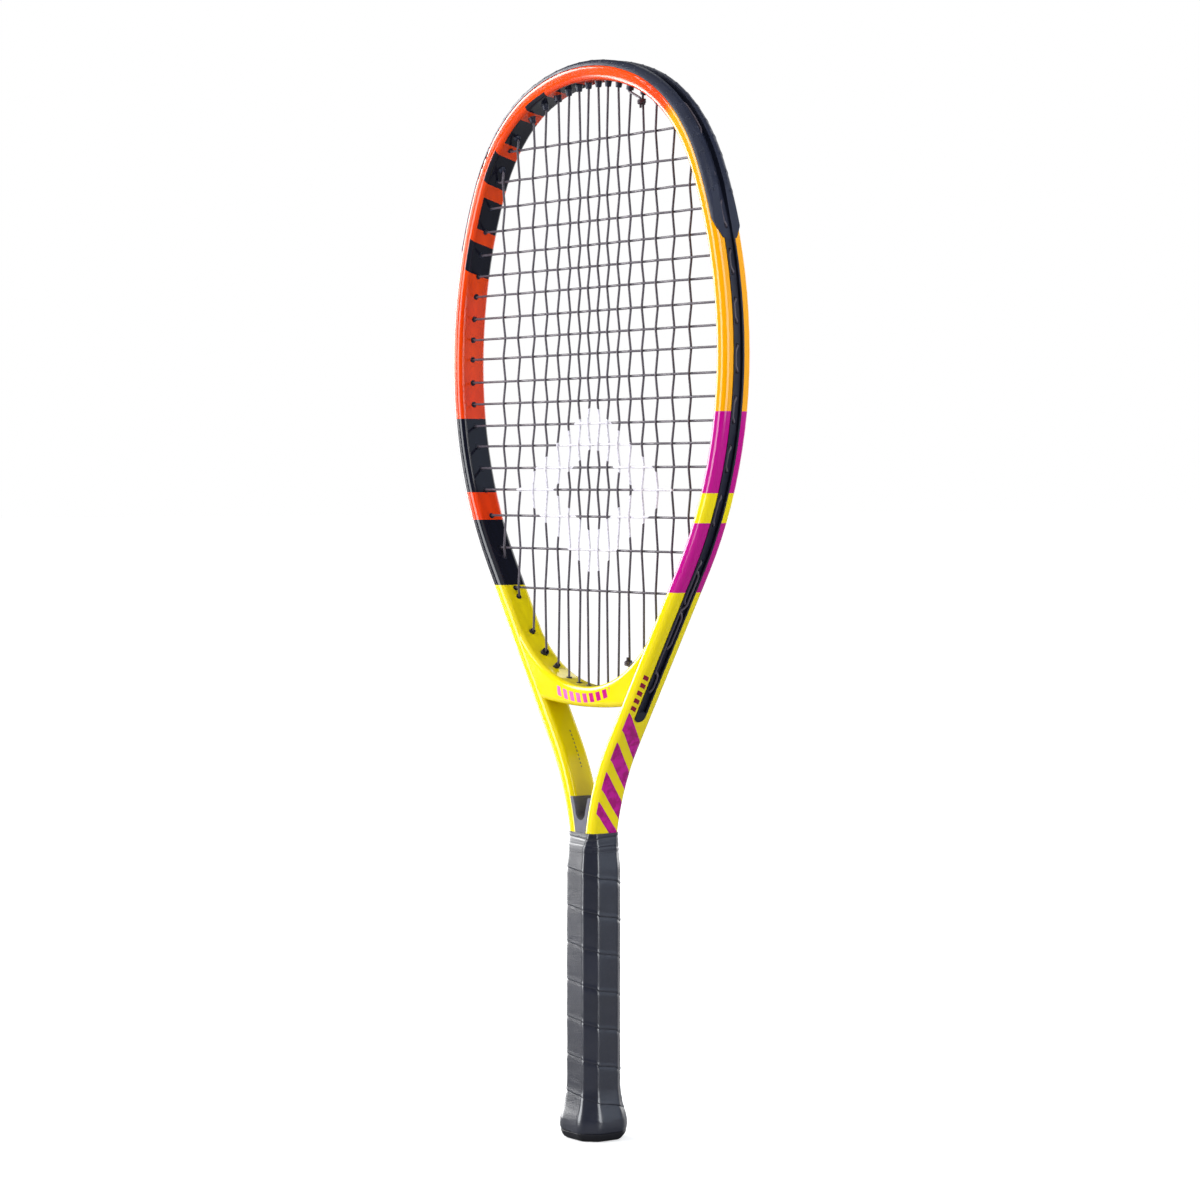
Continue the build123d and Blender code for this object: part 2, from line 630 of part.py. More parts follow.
def loop_points(first, second, side, y):
    """Points of the loop between two neighbouring ports on one side."""
    if first.station is None:
        start, end = first.mouth[0] * side, second.mouth[0] * side
        lead = 2.5 if end > start else -2.5
        return [(start + lead, y, BRIDGE_LANE_Z), (end - lead, y, BRIDGE_LANE_Z)]
    return lane_points(first.station, second.station, side, y)


def tail(exit_port, tied_port, up):
    """An end of the string: out beside one main, across to the next and on through its hitch."""
    x, z = tied_port.mouth
    return through(exit_port, 1, -TIE_SPREAD) + [
        (x, -2 * TIE_SPREAD, z + up * STRING_DIAMETER),
        (x, -2 * TIE_SPREAD, z + up * TIE_TAIL),
    ]


def string_route():
    """Every point of the string, end to end."""
    tie, last_main, next_main = FOOT_PORTS[FOOT_EXIT], FOOT_PORTS[7], FOOT_PORTS[6]
    route = tail(tie, FOOT_PORTS[FOOT_TIE], 1)[::-1]
    # the end runs up the arm's channel, changing lanes between the last cross and the next main
    for station, y in (
        (tie.station + 3, -LANE), (next_main.station + 1.2, -LANE),
        (CROSS_PORTS[-1].station - 1.2, LANE), (last_main.station - 3, LANE),
    ):
        x, z = along(station, LANE_HEIGHT)[0]
        route.append((x, y, z))
    for number in range(16, 0, -1):
        rising = number % 2 == 0
        points = main_points(number)
        route += points if rising else points[::-1]
        side, place = main_place(number)
        ports = TOP_PORTS if rising else FOOT_PORTS
        if number == 9:
            start, end = ports[0].mouth[0] - 2.5, 2.5 - ports[0].mouth[0]
            route += [(start, LANE, BRIDGE_LANE_Z), (end, LANE, BRIDGE_LANE_Z)]
        elif number > 1:
            next_side, next_place = main_place(number - 1)
            route += loop_points(ports[place], ports[next_place], side, LANE)
    route += lane_points(FOOT_PORTS[7].station, CROSS_PORTS[-1].station, -1, LANE)
    for row in range(len(CROSS_Z) - 1, -1, -1):
        rightward = row % 2 == 0
        points = cross_points(row)
        route += points if rightward else points[::-1]
        if row:
            side = 1 if rightward else -1
            route += lane_points(CROSS_PORTS[row].station, CROSS_PORTS[row - 1].station, side, -LANE)
    last_port = TOP_PORTS[TOP_EXIT]
    route += lane_points(CROSS_PORTS[0].station, last_port.station, 1, -LANE)
    return route + tail(last_port, TOP_PORTS[TOP_TIE], -1)


def corner_radii(points, largest=4.0):
    """The largest radius, up to a limit, that each corner's two runs leave room for."""
    radii = []
    for before, corner, after in zip(points, points[1:], points[2:]):
        a, b = Vector(*corner) - Vector(*before), Vector(*after) - Vector(*corner)
        half_turn = math.radians(a.get_angle(b)) / 2
        limit = 1.3 if half_turn > math.radians(30) else largest
        radii.append(min(limit, 0.45 * min(a.length, b.length) / math.tan(half_turn)))
    return radii


STRING_ROUTE = string_route()

with BuildPart() as string_bed:
    with BuildLine() as route:
        FilletPolyline(*STRING_ROUTE, radius=corner_radii(STRING_ROUTE))
    with BuildSketch(Plane(origin=STRING_ROUTE[0], z_dir=(0, 0, -1))):
        Circle(STRING_DIAMETER / 2)
    sweep()
string_bed.part.label = "string_bed"
STRING_LENGTH = sum(edge.length for edge in route.edges())
print(f"string: {STRING_LENGTH:.0f} mm, volume {string_bed.part.volume:.1f} against "
      f"{math.pi * STRING_DIAMETER**2 / 4 * STRING_LENGTH:.1f}")


def knot(x, y, bottom):
    """A hitch of two turns round a main and the string's end beside it."""
    spread = 2 * TIE_SPREAD
    with BuildPart() as solid:
        for turn in range(2):
            with BuildSketch(Plane(origin=(x, y, bottom + turn * STRING_DIAMETER), x_dir=(0, 1, 0))):
                SlotCenterToCenter(spread, 3 * STRING_DIAMETER + KNOT_SLACK + 0.2 * turn)
                SlotCenterToCenter(spread + 0.3, STRING_DIAMETER + 0.3, mode=Mode.SUBTRACT)
            extrude(amount=STRING_DIAMETER)
    return solid.part


with BuildPart() as string_knots:
    foot_x, foot_z = FOOT_PORTS[FOOT_TIE].mouth
    add(knot(foot_x, -TIE_SPREAD, foot_z + KNOT_GAP))
    top_x, top_z = TOP_PORTS[TOP_TIE].mouth
    add(knot(top_x, -TIE_SPREAD, top_z - KNOT_GAP - 2 * STRING_DIAMETER))
string_knots.part.label = "string_knots"

# ---- handle ---------------------------------------------------------------------------------------

with BuildPart() as staples:
    for side in (-1, 1):
        face = side * (GRIP_DEPTH / 2 - 0.2)
        with BuildSketch(Plane(origin=(0, face, STAPLE_Z), x_dir=(1, 0, 0), z_dir=(0, -side, 0))):
            Rectangle(STAPLE_CROWN, STAPLE_WIRE)
        extrude(amount=STAPLE_WIRE)
        with BuildSketch(Plane(origin=(0, face, STAPLE_Z), x_dir=(1, 0, 0), z_dir=(0, -side, 0))):
            with Locations(*[(end * (STAPLE_CROWN - STAPLE_WIRE) / 2, 0) for end in (-1, 1)]):
                Rectangle(STAPLE_WIRE, STAPLE_WIRE)
        extrude(amount=STAPLE_LEG)

with BuildPart() as pallet_front:
    with BuildSketch(Plane.XY.offset(PALLET_FOOT)):
        octagon(-TAPE_THICKNESS)
        with Locations((0, -CLEARANCE / 2)):
            Rectangle(
                2 * GRIP_WIDTH, GRIP_DEPTH, align=(Align.CENTER, Align.MIN), mode=Mode.SUBTRACT
            )
    extrude(amount=PALLET_TOP - PALLET_FOOT)
    add(tube_envelope.part, mode=Mode.SUBTRACT)
    add(staples.part, mode=Mode.SUBTRACT)
pallet_front.part.label = "pallet_front"

with BuildPart() as pallet_rear:
    mirror(pallet_front.part, about=Plane.XZ)
pallet_rear.part.label = "pallet_rear"

with BuildPart() as butt_cap:
    add(stacked(CAP_RIM))
    add(stacked(CAP_COLLAR))
    with BuildSketch(Plane.XY.offset(PALLET_FOOT - FIT)):
        octagon(-TAPE_THICKNESS + FIT)
    extrude(amount=PALLET_TOP, mode=Mode.SUBTRACT)
    with BuildSketch():
        Ellipse(PLATE_SIZE[0] / 2 + FIT, PLATE_SIZE[1] / 2 + FIT)
    extrude(amount=PLATE_SIZE[2] + 0.2, mode=Mode.SUBTRACT)
    add(staples.part, mode=Mode.SUBTRACT)
butt_cap.part.label = "butt_cap"

with BuildPart() as butt_plate:
    with BuildSketch(Plane.XY.offset(0.2)):
        Ellipse(PLATE_SIZE[0] / 2, PLATE_SIZE[1] / 2)
    extrude(amount=PLATE_SIZE[2])
butt_plate.part.label = "butt_plate"

cap_staples = staples
cap_staples.part.label = "cap_staples"

with BuildPart() as grip_tape:
    add(stacked((*FLARE, (PALLET_TOP, 0.0), (TAPE_TOP, TAPE_SLIM))))
    add(stacked(CAP_COLLAR), mode=Mode.SUBTRACT)
    with BuildSketch(Plane.XY):
        octagon(-TAPE_THICKNESS)
    extrude(amount=PALLET_TOP, mode=Mode.SUBTRACT)
    add(tube_envelope.part, mode=Mode.SUBTRACT)
    with BuildSketch(Plane.XY.offset(PALLET_TOP)):
        Rectangle(LEG_GAP_CUT, TUBE_DEPTH + 2 * CLEARANCE)
    extrude(amount=THROUGH, mode=Mode.SUBTRACT)
    add(staples.part, mode=Mode.SUBTRACT)
grip_tape.part.label = "grip_tape"

with BuildPart() as finishing_tape:
    with BuildSketch(Plane.XY.offset(TAPE_TOP)):
        octagon(TAPE_SLIM)
    with BuildSketch(Plane.XY.offset(FINISH_TOP)):
        octagon(0, *FINISH_TOP_SIZE)
    loft()
    add(tube_envelope.part, mode=Mode.SUBTRACT)
    with BuildSketch(Plane.XY.offset(PALLET_TOP)):
        Rectangle(LEG_GAP_CUT, TUBE_DEPTH + 2 * CLEARANCE)
    extrude(amount=THROUGH, mode=Mode.SUBTRACT)
finishing_tape.part.label = "finishing_tape"

# ---- files ----------------------------------------------------------------------------------------

for piece in (
    frame_tube, throat_bridge, bridge_rivets, throat_plug, bumper_guard, grommet_strip_left,
    grommet_strip_right, bridge_grommet_strip, string_bed, string_knots, pallet_front, pallet_rear,
    butt_cap, butt_plate, cap_staples, grip_tape, finishing_tape,
):
    export_step(piece.part, f"parts/{piece.part.label}.step")
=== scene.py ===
"""Looks of a junior tennis racket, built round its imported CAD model.

Lengths are metres in the model's frame: origin at the middle of the butt end, +Z up the racket to its
tip, +X across its face and -Y out of the face nearer the camera.
"""

import math
import random

import bmesh
import bpy
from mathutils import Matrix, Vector, noise


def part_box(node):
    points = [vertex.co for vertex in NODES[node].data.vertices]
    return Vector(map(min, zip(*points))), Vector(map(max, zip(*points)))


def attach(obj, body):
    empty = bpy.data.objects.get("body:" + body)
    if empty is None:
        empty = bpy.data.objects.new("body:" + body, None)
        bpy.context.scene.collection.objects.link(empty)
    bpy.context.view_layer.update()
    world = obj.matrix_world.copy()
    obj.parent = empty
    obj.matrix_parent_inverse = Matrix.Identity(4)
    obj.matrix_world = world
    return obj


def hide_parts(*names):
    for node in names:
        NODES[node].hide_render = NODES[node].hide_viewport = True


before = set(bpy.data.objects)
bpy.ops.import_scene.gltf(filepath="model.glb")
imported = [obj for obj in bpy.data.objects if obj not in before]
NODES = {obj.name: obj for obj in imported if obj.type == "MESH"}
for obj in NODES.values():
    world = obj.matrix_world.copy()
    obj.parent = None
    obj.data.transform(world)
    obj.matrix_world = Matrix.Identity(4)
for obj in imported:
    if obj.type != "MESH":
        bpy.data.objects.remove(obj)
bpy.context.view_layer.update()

random.seed(23)

# The tube's centre line, as in the CAD source: (centre x, centre z, radius, start, end) for each arc
SIDE, SHOULDER, CORNER, CROWN = 0.200, 0.225, 0.097, 0.142
WIDEST = (0.125, 0.422)
CROWN_Z = 0.5776
LEG_X, LEG_TOP, BEND = 0.005, 0.1415, 0.132
ARCH_RADIUS, ARCH_Z = 0.0793, 0.3243  # of the bridge's upper edge, and its centre's height


def arm_angle():
    """Angle of the straight arm from the vertical."""
    across, up = LEG_X + BEND - WIDEST[0] + SIDE, WIDEST[1] - LEG_TOP
    return math.atan2(up, across) - math.acos((BEND + SIDE) / math.hypot(across, up))


def corner_centre():
    """Centre of the corner arc, tangent inside the shoulder's arc and the crown's."""
    shoulder, crown = (WIDEST[0] - SHOULDER, WIDEST[1]), (0.0, CROWN_Z - CROWN)
    apart = math.dist(shoulder, crown)
    ux, uz = (crown[0] - shoulder[0]) / apart, (crown[1] - shoulder[1]) / apart
    first, second = SHOULDER - CORNER, CROWN - CORNER
    run = (first**2 - second**2 + apart**2) / (2 * apart)
    off = math.sqrt(first**2 - run**2)
    return (shoulder[0] + run * ux - off * uz, shoulder[1] + run * uz + off * ux)


ARM = arm_angle()
ARM_UP, ARM_OUT = (math.sin(ARM), math.cos(ARM)), (math.cos(ARM), -math.sin(ARM))
ARM_TOP = (WIDEST[0] - SIDE + SIDE * ARM_OUT[0], WIDEST[1] + SIDE * ARM_OUT[1])
CORNER_AT = corner_centre()
LOW = math.atan2(CORNER_AT[1] - WIDEST[1], CORNER_AT[0] - WIDEST[0] + SHOULDER)
HIGH = math.atan2(CORNER_AT[1] - CROWN_Z + CROWN, CORNER_AT[0])
ARCS = (
    (WIDEST[0] - SIDE, WIDEST[1], SIDE, -ARM, 0.0),
    (WIDEST[0] - SHOULDER, WIDEST[1], SHOULDER, 0.0, LOW),
    (*CORNER_AT, CORNER, LOW, HIGH),
    (0.0, CROWN_Z - CROWN, CROWN, HIGH, math.pi / 2),
)
HALF_WIDTH = 0.0045  # of the tube, in the racket's plane


def along(station, height=0.0):
    """Point and outward normal at a height over the centre line; station 0 is the straight arm's top."""
    if station <= 0:
        point, normal = (ARM_TOP[0] + station * ARM_UP[0], ARM_TOP[1] + station * ARM_UP[1]), ARM_OUT
    else:
        left = station
        for cx, cz, radius, start, end in ARCS:
            if left <= radius * (end - start) + 1e-9:
                break
            left -= radius * (end - start)
        angle = start + left / radius
        normal = (math.cos(angle), math.sin(angle))
        point = (cx + radius * normal[0], cz + radius * normal[1])
    return (point[0] + height * normal[0], point[1] + height * normal[1]), normal


def station_of(x, z):
    """Station of the centre line's point nearest to a place near it."""
    done, best = 0.0, None
    for cx, cz, radius, start, end in ARCS:
        angle = min(max(math.atan2(z - cz, x - cx), start), end)
        gap = math.dist((x, z), (cx + radius * math.cos(angle), cz + radius * math.sin(angle)))
        if best is None or gap < best[0]:
            best = (gap, done + radius * (angle - start))
        done += radius * (end - start)
    back = (x - ARM_TOP[0]) * ARM_UP[0] + (z - ARM_TOP[1]) * ARM_UP[1]
    if back < 0:
        spot = along(back)[0]
        if math.dist((x, z), spot) <= best[0] + 1e-6:
            return back
    return best[1]


# ---- node materials ---------------------------------------------------------------------------


def rgb(red, green, blue):
    """A screen colour of 0 to 255 as a linear colour."""
    def linear(value):
        share = value / 255
        return share / 12.92 if share <= 0.04045 else ((share + 0.055) / 1.055) ** 2.4
    return (linear(red), linear(green), linear(blue), 1.0)


class Field:
    """A value inside one material; arithmetic on it adds Math nodes."""

    def __init__(self, tree, socket):
        self.tree, self.socket = tree, socket

    def math(self, operation, *others):
        node = self.tree.nodes.new("ShaderNodeMath")
        node.operation = operation
        for slot, value in zip(node.inputs, (self, *others)):
            if isinstance(value, Field):
                self.tree.links.new(value.socket, slot)
            else:
                slot.default_value = value
        return Field(self.tree, node.outputs[0])

    def __add__(self, other):
        return self.math("ADD", other)

    def __sub__(self, other):
        return self.math("SUBTRACT", other)

    def __mul__(self, other):
        return self.math("MULTIPLY", other)

    def __gt__(self, other):
        return self.math("GREATER_THAN", other)

    def __lt__(self, other):
        return self.math("LESS_THAN", other)

    def __abs__(self):
        return self.math("ABSOLUTE")

    def flipped(self):
        """One minus the value."""
        return (self * -1.0) + 1.0

    def within(self, low, high):
        return (self > low) * (self < high)

    def saw(self, period):
        """0 to 1 over each period."""
        return (self * (1 / period)).math("FRACT")

    def ramp(self, low, high, start=0.0, end=1.0):
        """Straight ramp from start at low to end at high, level beyond them."""
        node = self.tree.nodes.new("ShaderNodeMapRange")
        self.tree.links.new(self.socket, node.inputs["Value"])
        for name, value in (("From Min", low), ("From Max", high), ("To Min", start), ("To Max", end)):
            node.inputs[name].default_value = value
        return Field(self.tree, node.outputs["Result"])


class Finish:
    """One material under construction."""

    def __init__(self, name, **settings):
        self.material = bpy.data.materials.new(name)
        self.material.use_nodes = True
        self.tree = self.material.node_tree
        self.shader = self.tree.nodes["Principled BSDF"]
        for socket, value in settings.items():
            self.shader.inputs[socket.replace("_", " ")].default_value = value
        self.coords = self.tree.nodes.new("ShaderNodeTexCoord")
        split = self.tree.nodes.new("ShaderNodeSeparateXYZ")
        self.tree.links.new(self.coords.outputs["Object"], split.inputs[0])
        self.x, self.y, self.z = (Field(self.tree, out) for out in split.outputs)

    def facing(self):
        """The surface's own normal, as three values."""
        split = self.tree.nodes.new("ShaderNodeSeparateXYZ")
        self.tree.links.new(self.coords.outputs["Normal"], split.inputs[0])
        return [Field(self.tree, out) for out in split.outputs]

    def stretched(self, stretch, turn):
        node = self.tree.nodes.new("ShaderNodeMapping")
        node.inputs["Scale"].default_value = stretch
        node.inputs["Rotation"].default_value = turn
        self.tree.links.new(self.coords.outputs["Object"], node.inputs["Vector"])
        return node.outputs["Vector"]

    def noise(self, scale, detail=3.0, rough=0.5, stretch=(1, 1, 1), turn=(0.0, 0.0, 0.0)):
        node = self.tree.nodes.new("ShaderNodeTexNoise")
        node.inputs["Scale"].default_value = scale
        node.inputs["Detail"].default_value = detail
        node.inputs["Roughness"].default_value = rough
        self.tree.links.new(self.stretched(stretch, turn), node.inputs["Vector"])
        return Field(self.tree, node.outputs["Fac"])

    def cells(self, scale):
        node = self.tree.nodes.new("ShaderNodeTexVoronoi")
        node.inputs["Scale"].default_value = scale
        self.tree.links.new(self.coords.outputs["Object"], node.inputs["Vector"])
        return Field(self.tree, node.outputs["Distance"])

    def mixed(self, share, first, second):
        """Colour between two, by share."""
        node = self.tree.nodes.new("ShaderNodeMix")
        node.data_type = "RGBA"
        self.tree.links.new(share.socket, node.inputs["Factor"])
        for slot, value in ((node.inputs["A"], first), (node.inputs["B"], second)):
            if isinstance(value, tuple):
                slot.default_value = value
            else:
                self.tree.links.new(value, slot)
        return node.outputs["Result"]

    def colour(self, socket):
        self.tree.links.new(socket, self.shader.inputs["Base Color"])

    def roughness(self, field):
        self.tree.links.new(field.socket, self.shader.inputs["Roughness"])

    def relief(self, *layers):
        """Bumps as (height field, depth in metres), one on another."""
        normal = None
        for field, depth in layers:
            node = self.tree.nodes.new("ShaderNodeBump")
            node.inputs["Distance"].default_value = depth
            self.tree.links.new(field.socket, node.inputs["Height"])
            if normal is not None:
                self.tree.links.new(normal, node.inputs["Normal"])
            normal = node.outputs["Normal"]
        self.tree.links.new(normal, self.shader.inputs["Normal"])

    def tinted(self, colour, low, high, scale):
        """A colour that drifts between a darker and a lighter shade of itself."""
        drift = self.noise(scale, 4.0, 0.6)
        node = self.tree.nodes.new("ShaderNodeValToRGB")
        self.tree.links.new(drift.socket, node.inputs["Fac"])
        for element, position, factor in zip(node.color_ramp.elements, (0.3, 0.7), (low, high)):
            element.position = position
            element.color = tuple(part * factor for part in colour[:3]) + (1.0,)
        return node.outputs["Color"]


ORANGE, ORANGE_DEEP = rgb(255, 78, 0), rgb(246, 62, 4)
AMBER = rgb(250, 170, 0)
MAGENTA = rgb(190, 0, 134)
YELLOW = rgb(245, 222, 0)
NAVY = rgb(13, 15, 30)
INK_PINK = rgb(226, 112, 192)
LABEL_RED = rgb(140, 12, 46)

# Paint borders up the racket
BAND_TOP, BAND_HIGH, BAND_LOW, BAND_FOOT = 0.392, 0.350, 0.3345, 0.298
LACQUER = {"Coat_Weight": 0.3, "Coat_Roughness": 0.08, "Specular_IOR_Level": 0.4}
PAINT_ROUGHNESS = 0.12

# Printed marks. A pitch is that of a row, and a share is how much of the pitch is inked.
HALF_DEPTH = 0.009  # of the tube, front to back
BLOCK_CENTRE, BLOCK_RADIUS = 0.440, 0.128  # blocks are spaced round this circle
BLOCK_PITCH, BLOCK_SHARE, BLOCK_LEAN = 0.0272, 0.70, 0.30
BLOCK_START, BLOCK_RUN = 0.0405, 0.158
BAR_PITCH, BAR_SHARE, BAR_LEAN = 0.0165, 0.60, 1.15
BAR_REACH = (0.1680, 0.2275)  # heights between which the arms carry bars
BAR_HALF = 0.0078  # of their width, front to back
LABEL_PITCH, LABEL_SHARE, LABEL_LEAN = 0.0042, 0.55, 0.5
LABEL_REACH, LABEL_WIDTH = (0.2310, 0.2520), (-0.0078, -0.0046)
DASH_PITCH, DASH_SHARE = 0.0021, 0.6
DASH_REACH, DASH_WIDTH = (0.200, 0.2200), (0.0012, 0.0020)
BRIDGE_BAR_PITCH, BRIDGE_BAR_SHARE, BRIDGE_BAR_LEAN = 0.0062, 0.62, -0.35
BRIDGE_BAR_REACH, BRIDGE_BAR_DROP = (-0.0225, 0.0270), (0.0036, 0.0086)
DIAMOND_Z, DIAMOND_X_HALF, DIAMOND_Z_HALF = 0.3515, 0.074, 0.047
DIAMOND_HOLE = 0.52  # of the diamond's size


def add_gloss(finish):
    """Lacquer: a faint orange peel, dust specks and slightly duller patches."""
    patches = finish.noise(42, 3.0)
    specks = finish.noise(2600, 1.0).ramp(0.62, 0.75, 0.0, 0.08)
    finish.roughness(patches.ramp(0.3, 0.7, PAINT_ROUGHNESS, PAINT_ROUGHNESS + 0.05) + specks)
    peel = finish.noise(420, 2.0)
    finish.relief((peel, 0.000014), (finish.noise(1500, 2.0), 0.000003))


def hoop_height(finish, across):
    """Height over the tube's centre line on the top part of the hoop."""
    height = None
    limits = (None, ARCS[2][1] + CORNER * math.sin(LOW), ARCS[2][1] + CORNER * math.sin(HIGH))
    for (cx, cz, radius, _, _), limit in zip(ARCS[1:], limits):
        dx, dz = across - cx, finish.z - cz
        this = (dx * dx + dz * dz).math("SQRT") - radius
        height = this if limit is None else height + (finish.z > limit) * (this - height)
    return height


def tube_paint():
    """Bands of colour up the hoop, with plain blocks, bars, short bars and dashes."""
    made = Finish("racket_paint", **LACQUER)
    x, y, z = made.x, made.y, made.z
    right, across = x > 0.0, abs(x)
    nx, _, _ = made.facing()
    outward = nx * (right * 2.0 - 1.0)

    def banded(top, high, low, foot):
        """Colours from the tip to the throat."""
        colour = made.mixed(z > BAND_FOOT, YELLOW, foot)
        colour = made.mixed(z > BAND_LOW, colour, low)
        colour = made.mixed(z > BAND_HIGH, colour, high)
        return made.mixed(z > BAND_TOP, colour, top)

    warm = made.mixed(made.noise(24, 2.0).ramp(0.3, 0.7), ORANGE, ORANGE_DEEP)
    right_top = made.mixed((x + (z - 0.543) * -0.6).ramp(0.072, 0.082), warm, AMBER)
    left_bands = banded(warm, NAVY, ORANGE_DEEP, NAVY)
    colour = made.mixed(right, left_bands, banded(right_top, MAGENTA, YELLOW, MAGENTA))

    # slanted blocks on the upper left of the hoop; round_section runs round the tube, front to back
    round_section = y + HALF_DEPTH - hoop_height(made, across)
    around = (z - BLOCK_CENTRE).math("ARCTAN2", x * -1.0) * BLOCK_RADIUS
    place = (around + round_section * BLOCK_LEAN - BLOCK_START).math("MAXIMUM", 0.0)
    odd = place.saw(2 * BLOCK_PITCH) > 0.5  # every other block is shorter
    blocks = (place.saw(BLOCK_PITCH) < BLOCK_SHARE) * place.within(0.0001, BLOCK_RUN)
    blocks = blocks * (round_section > (odd * 0.0040 + 0.0030))
    colour = made.mixed(blocks * (x < -0.004) * (outward < 0.5), colour, NAVY)

    # slanted bars on the outer faces of both arms, mottled like worn stencilling
    lean = z + y * BAR_LEAN
    bars = (lean.saw(BAR_PITCH) < BAR_SHARE) * lean.within(*BAR_REACH)
    bars = bars * (abs(y) < BAR_HALF) * (outward > 0.35)
    mottle = made.noise(260, 3.0).ramp(0.42, 0.58)
    ink = made.mixed(mottle, rgb(165, 0, 112), rgb(200, 12, 150))
    colour = made.mixed(bars, colour, ink)

    # short bars beside the right strip's end, and a dashed line inside the left arm
    tilt = z + y * LABEL_LEAN
    label = (tilt.saw(LABEL_PITCH) < LABEL_SHARE) * tilt.within(*LABEL_REACH) * y.within(*LABEL_WIDTH)
    colour = made.mixed(label * (outward > 0.5) * right, colour, LABEL_RED)
    dashes = (z.saw(DASH_PITCH) < DASH_SHARE) * z.within(*DASH_REACH) * y.within(*DASH_WIDTH)
    dashes = dashes * (outward < -0.5) * right.flipped()
    colour = made.mixed(dashes, colour, rgb(150, 140, 60))
    made.colour(colour)
    add_gloss(made)
    return made.material


def bridge_paint():
    """Yellow lacquer with a row of slanted pink bars along the front."""
    made = Finish("bridge_paint", **LACQUER)
    x, y, z = made.x, made.y, made.z
    arch = (x * x * -1.0 + ARCH_RADIUS**2).math("SQRT") * -1.0 + ARCH_Z
    below = arch - z
    bars = (x + below * BRIDGE_BAR_LEAN).saw(BRIDGE_BAR_PITCH) < BRIDGE_BAR_SHARE
    bars = bars * x.within(*BRIDGE_BAR_REACH) * below.within(*BRIDGE_BAR_DROP)
    ink = made.mixed(x.ramp(-0.004, 0.010), INK_PINK, rgb(200, 0, 128))
    made.colour(made.mixed(bars * (y < -0.005), YELLOW, ink))
    add_gloss(made)
    return made.material


def guard_plastic():
    """Satin nylon with a fine moulded grain, and duller, paler scuffs on its crown."""
    made = Finish("guard_nylon", Specular_IOR_Level=0.45)
    height = hoop_height(made, abs(made.x))
    base = made.tinted(rgb(35, 40, 59), 0.86, 1.12, 70)
    scuffs = made.noise(320, 5.0, 0.65, (1, 0.25, 1)).ramp(0.60, 0.72) * height.ramp(0.0060, 0.0066)
    made.colour(made.mixed(scuffs * 0.35, base, rgb(104, 108, 122)))
    made.roughness(made.noise(160, 3.0).ramp(0.3, 0.7, 0.36, 0.50) + scuffs * 0.15)
    made.relief((made.noise(1500, 2.0), 0.00004), (scuffs, 0.00003))
    return made.material


def strip_plastic():
    made = Finish("strip_nylon", Specular_IOR_Level=0.45)
    made.colour(made.tinted(rgb(26, 28, 44), 0.8, 1.2, 90))
    made.roughness(made.noise(200, 3.0).ramp(0.3, 0.7, 0.32, 0.46))
    made.relief((made.noise(1800, 2.0), 0.00003),)
    return made.material


def string_nylon():
    """Graphite monofilament, with pale stencil ink in a plain diamond ring on the bed."""
    made = Finish("string_nylon", Specular_IOR_Level=0.4)
    across, up = abs(made.x), abs(made.z - DIAMOND_Z)
    diamond = across * (1 / DIAMOND_X_HALF) + up * (1 / DIAMOND_Z_HALF)
    worn = made.noise(900, 3.0).ramp(0.35, 0.50)
    ring = diamond.within(DIAMOND_HOLE, 1.0) * worn.ramp(0.0, 1.0, 0.72, 1.0)
    bare = made.tinted(rgb(84, 77, 86), 0.8, 1.25, 160)
    made.colour(made.mixed(ring, bare, rgb(236, 232, 240)))
    made.roughness(made.noise(700, 2.0).ramp(0.3, 0.7, 0.34, 0.48) + ring * 0.2)
    made.relief((made.noise(2400, 2.0), 0.000012),)
    return made.material


def plug_rubber():
    made = Finish("plug_rubber", Specular_IOR_Level=0.35)
    made.colour(made.tinted(rgb(104, 103, 114), 0.85, 1.15, 120))
    made.roughness(made.noise(300, 3.0).ramp(0.3, 0.7, 0.52, 0.68))
    made.relief((made.noise(1300, 3.0), 0.00005),)
    return made.material


def grip_synthetic():
    """Cushioned tape: fine pores, long stretch wrinkles and handled, slightly shinier patches."""
    made = Finish("grip_tape", Coat_Weight=1.0, Coat_Roughness=0.25, Coat_IOR=1.75, Specular_IOR_Level=0.35)
    made.colour(made.tinted(rgb(12, 17, 36), 0.82, 1.16, 60))
    made.roughness(made.noise(110, 4.0).ramp(0.3, 0.7, 0.36, 0.50))
    pores = made.cells(1500)
    drawn = made.noise(240, 3.0, 0.6, (0.30, 0.30, 1.6), (0.0, 0.22, 0.0))
    made.relief((pores, 0.00006), (drawn, 0.00022))
    return made.material


def finishing_vinyl():
    made = Finish(
        "finishing_vinyl", Coat_Weight=1.0, Coat_Roughness=0.30, Coat_IOR=1.7, Specular_IOR_Level=0.35
    )
    made.colour(made.tinted(rgb(12, 17, 36), 0.85, 1.15, 120))
    made.roughness(made.noise(160, 3.0).ramp(0.3, 0.7, 0.26, 0.40))
    drawn = made.noise(300, 2.0, 0.5, (0.25, 0.25, 2.2), (0.0, 0.3, 0.0))
    made.relief((drawn, 0.00016), (made.noise(1600, 2.0), 0.00002))
    return made.material


def dark_plastic(name, colour, low, high, grain):
    made = Finish(name, Specular_IOR_Level=0.45)
    made.colour(made.tinted(colour, 0.8, 1.2, 100))
    made.roughness(made.noise(220, 3.0).ramp(0.3, 0.7, low, high))
    made.relief((made.noise(grain, 3.0), 0.00004),)
    return made.material


def drawn_metal(name, colour, low, high):
    """Bare metal with fine drawing marks along X."""
    made = Finish(name, Metallic=1.0)
    made.colour(made.tinted(colour, 0.8, 1.05, 300))
    marks = made.noise(900, 3.0, 0.6, (0.08, 1, 1))
    made.roughness(marks.ramp(0.3, 0.7, low, high))
    made.relief((marks, 0.00001),)
    return made.material


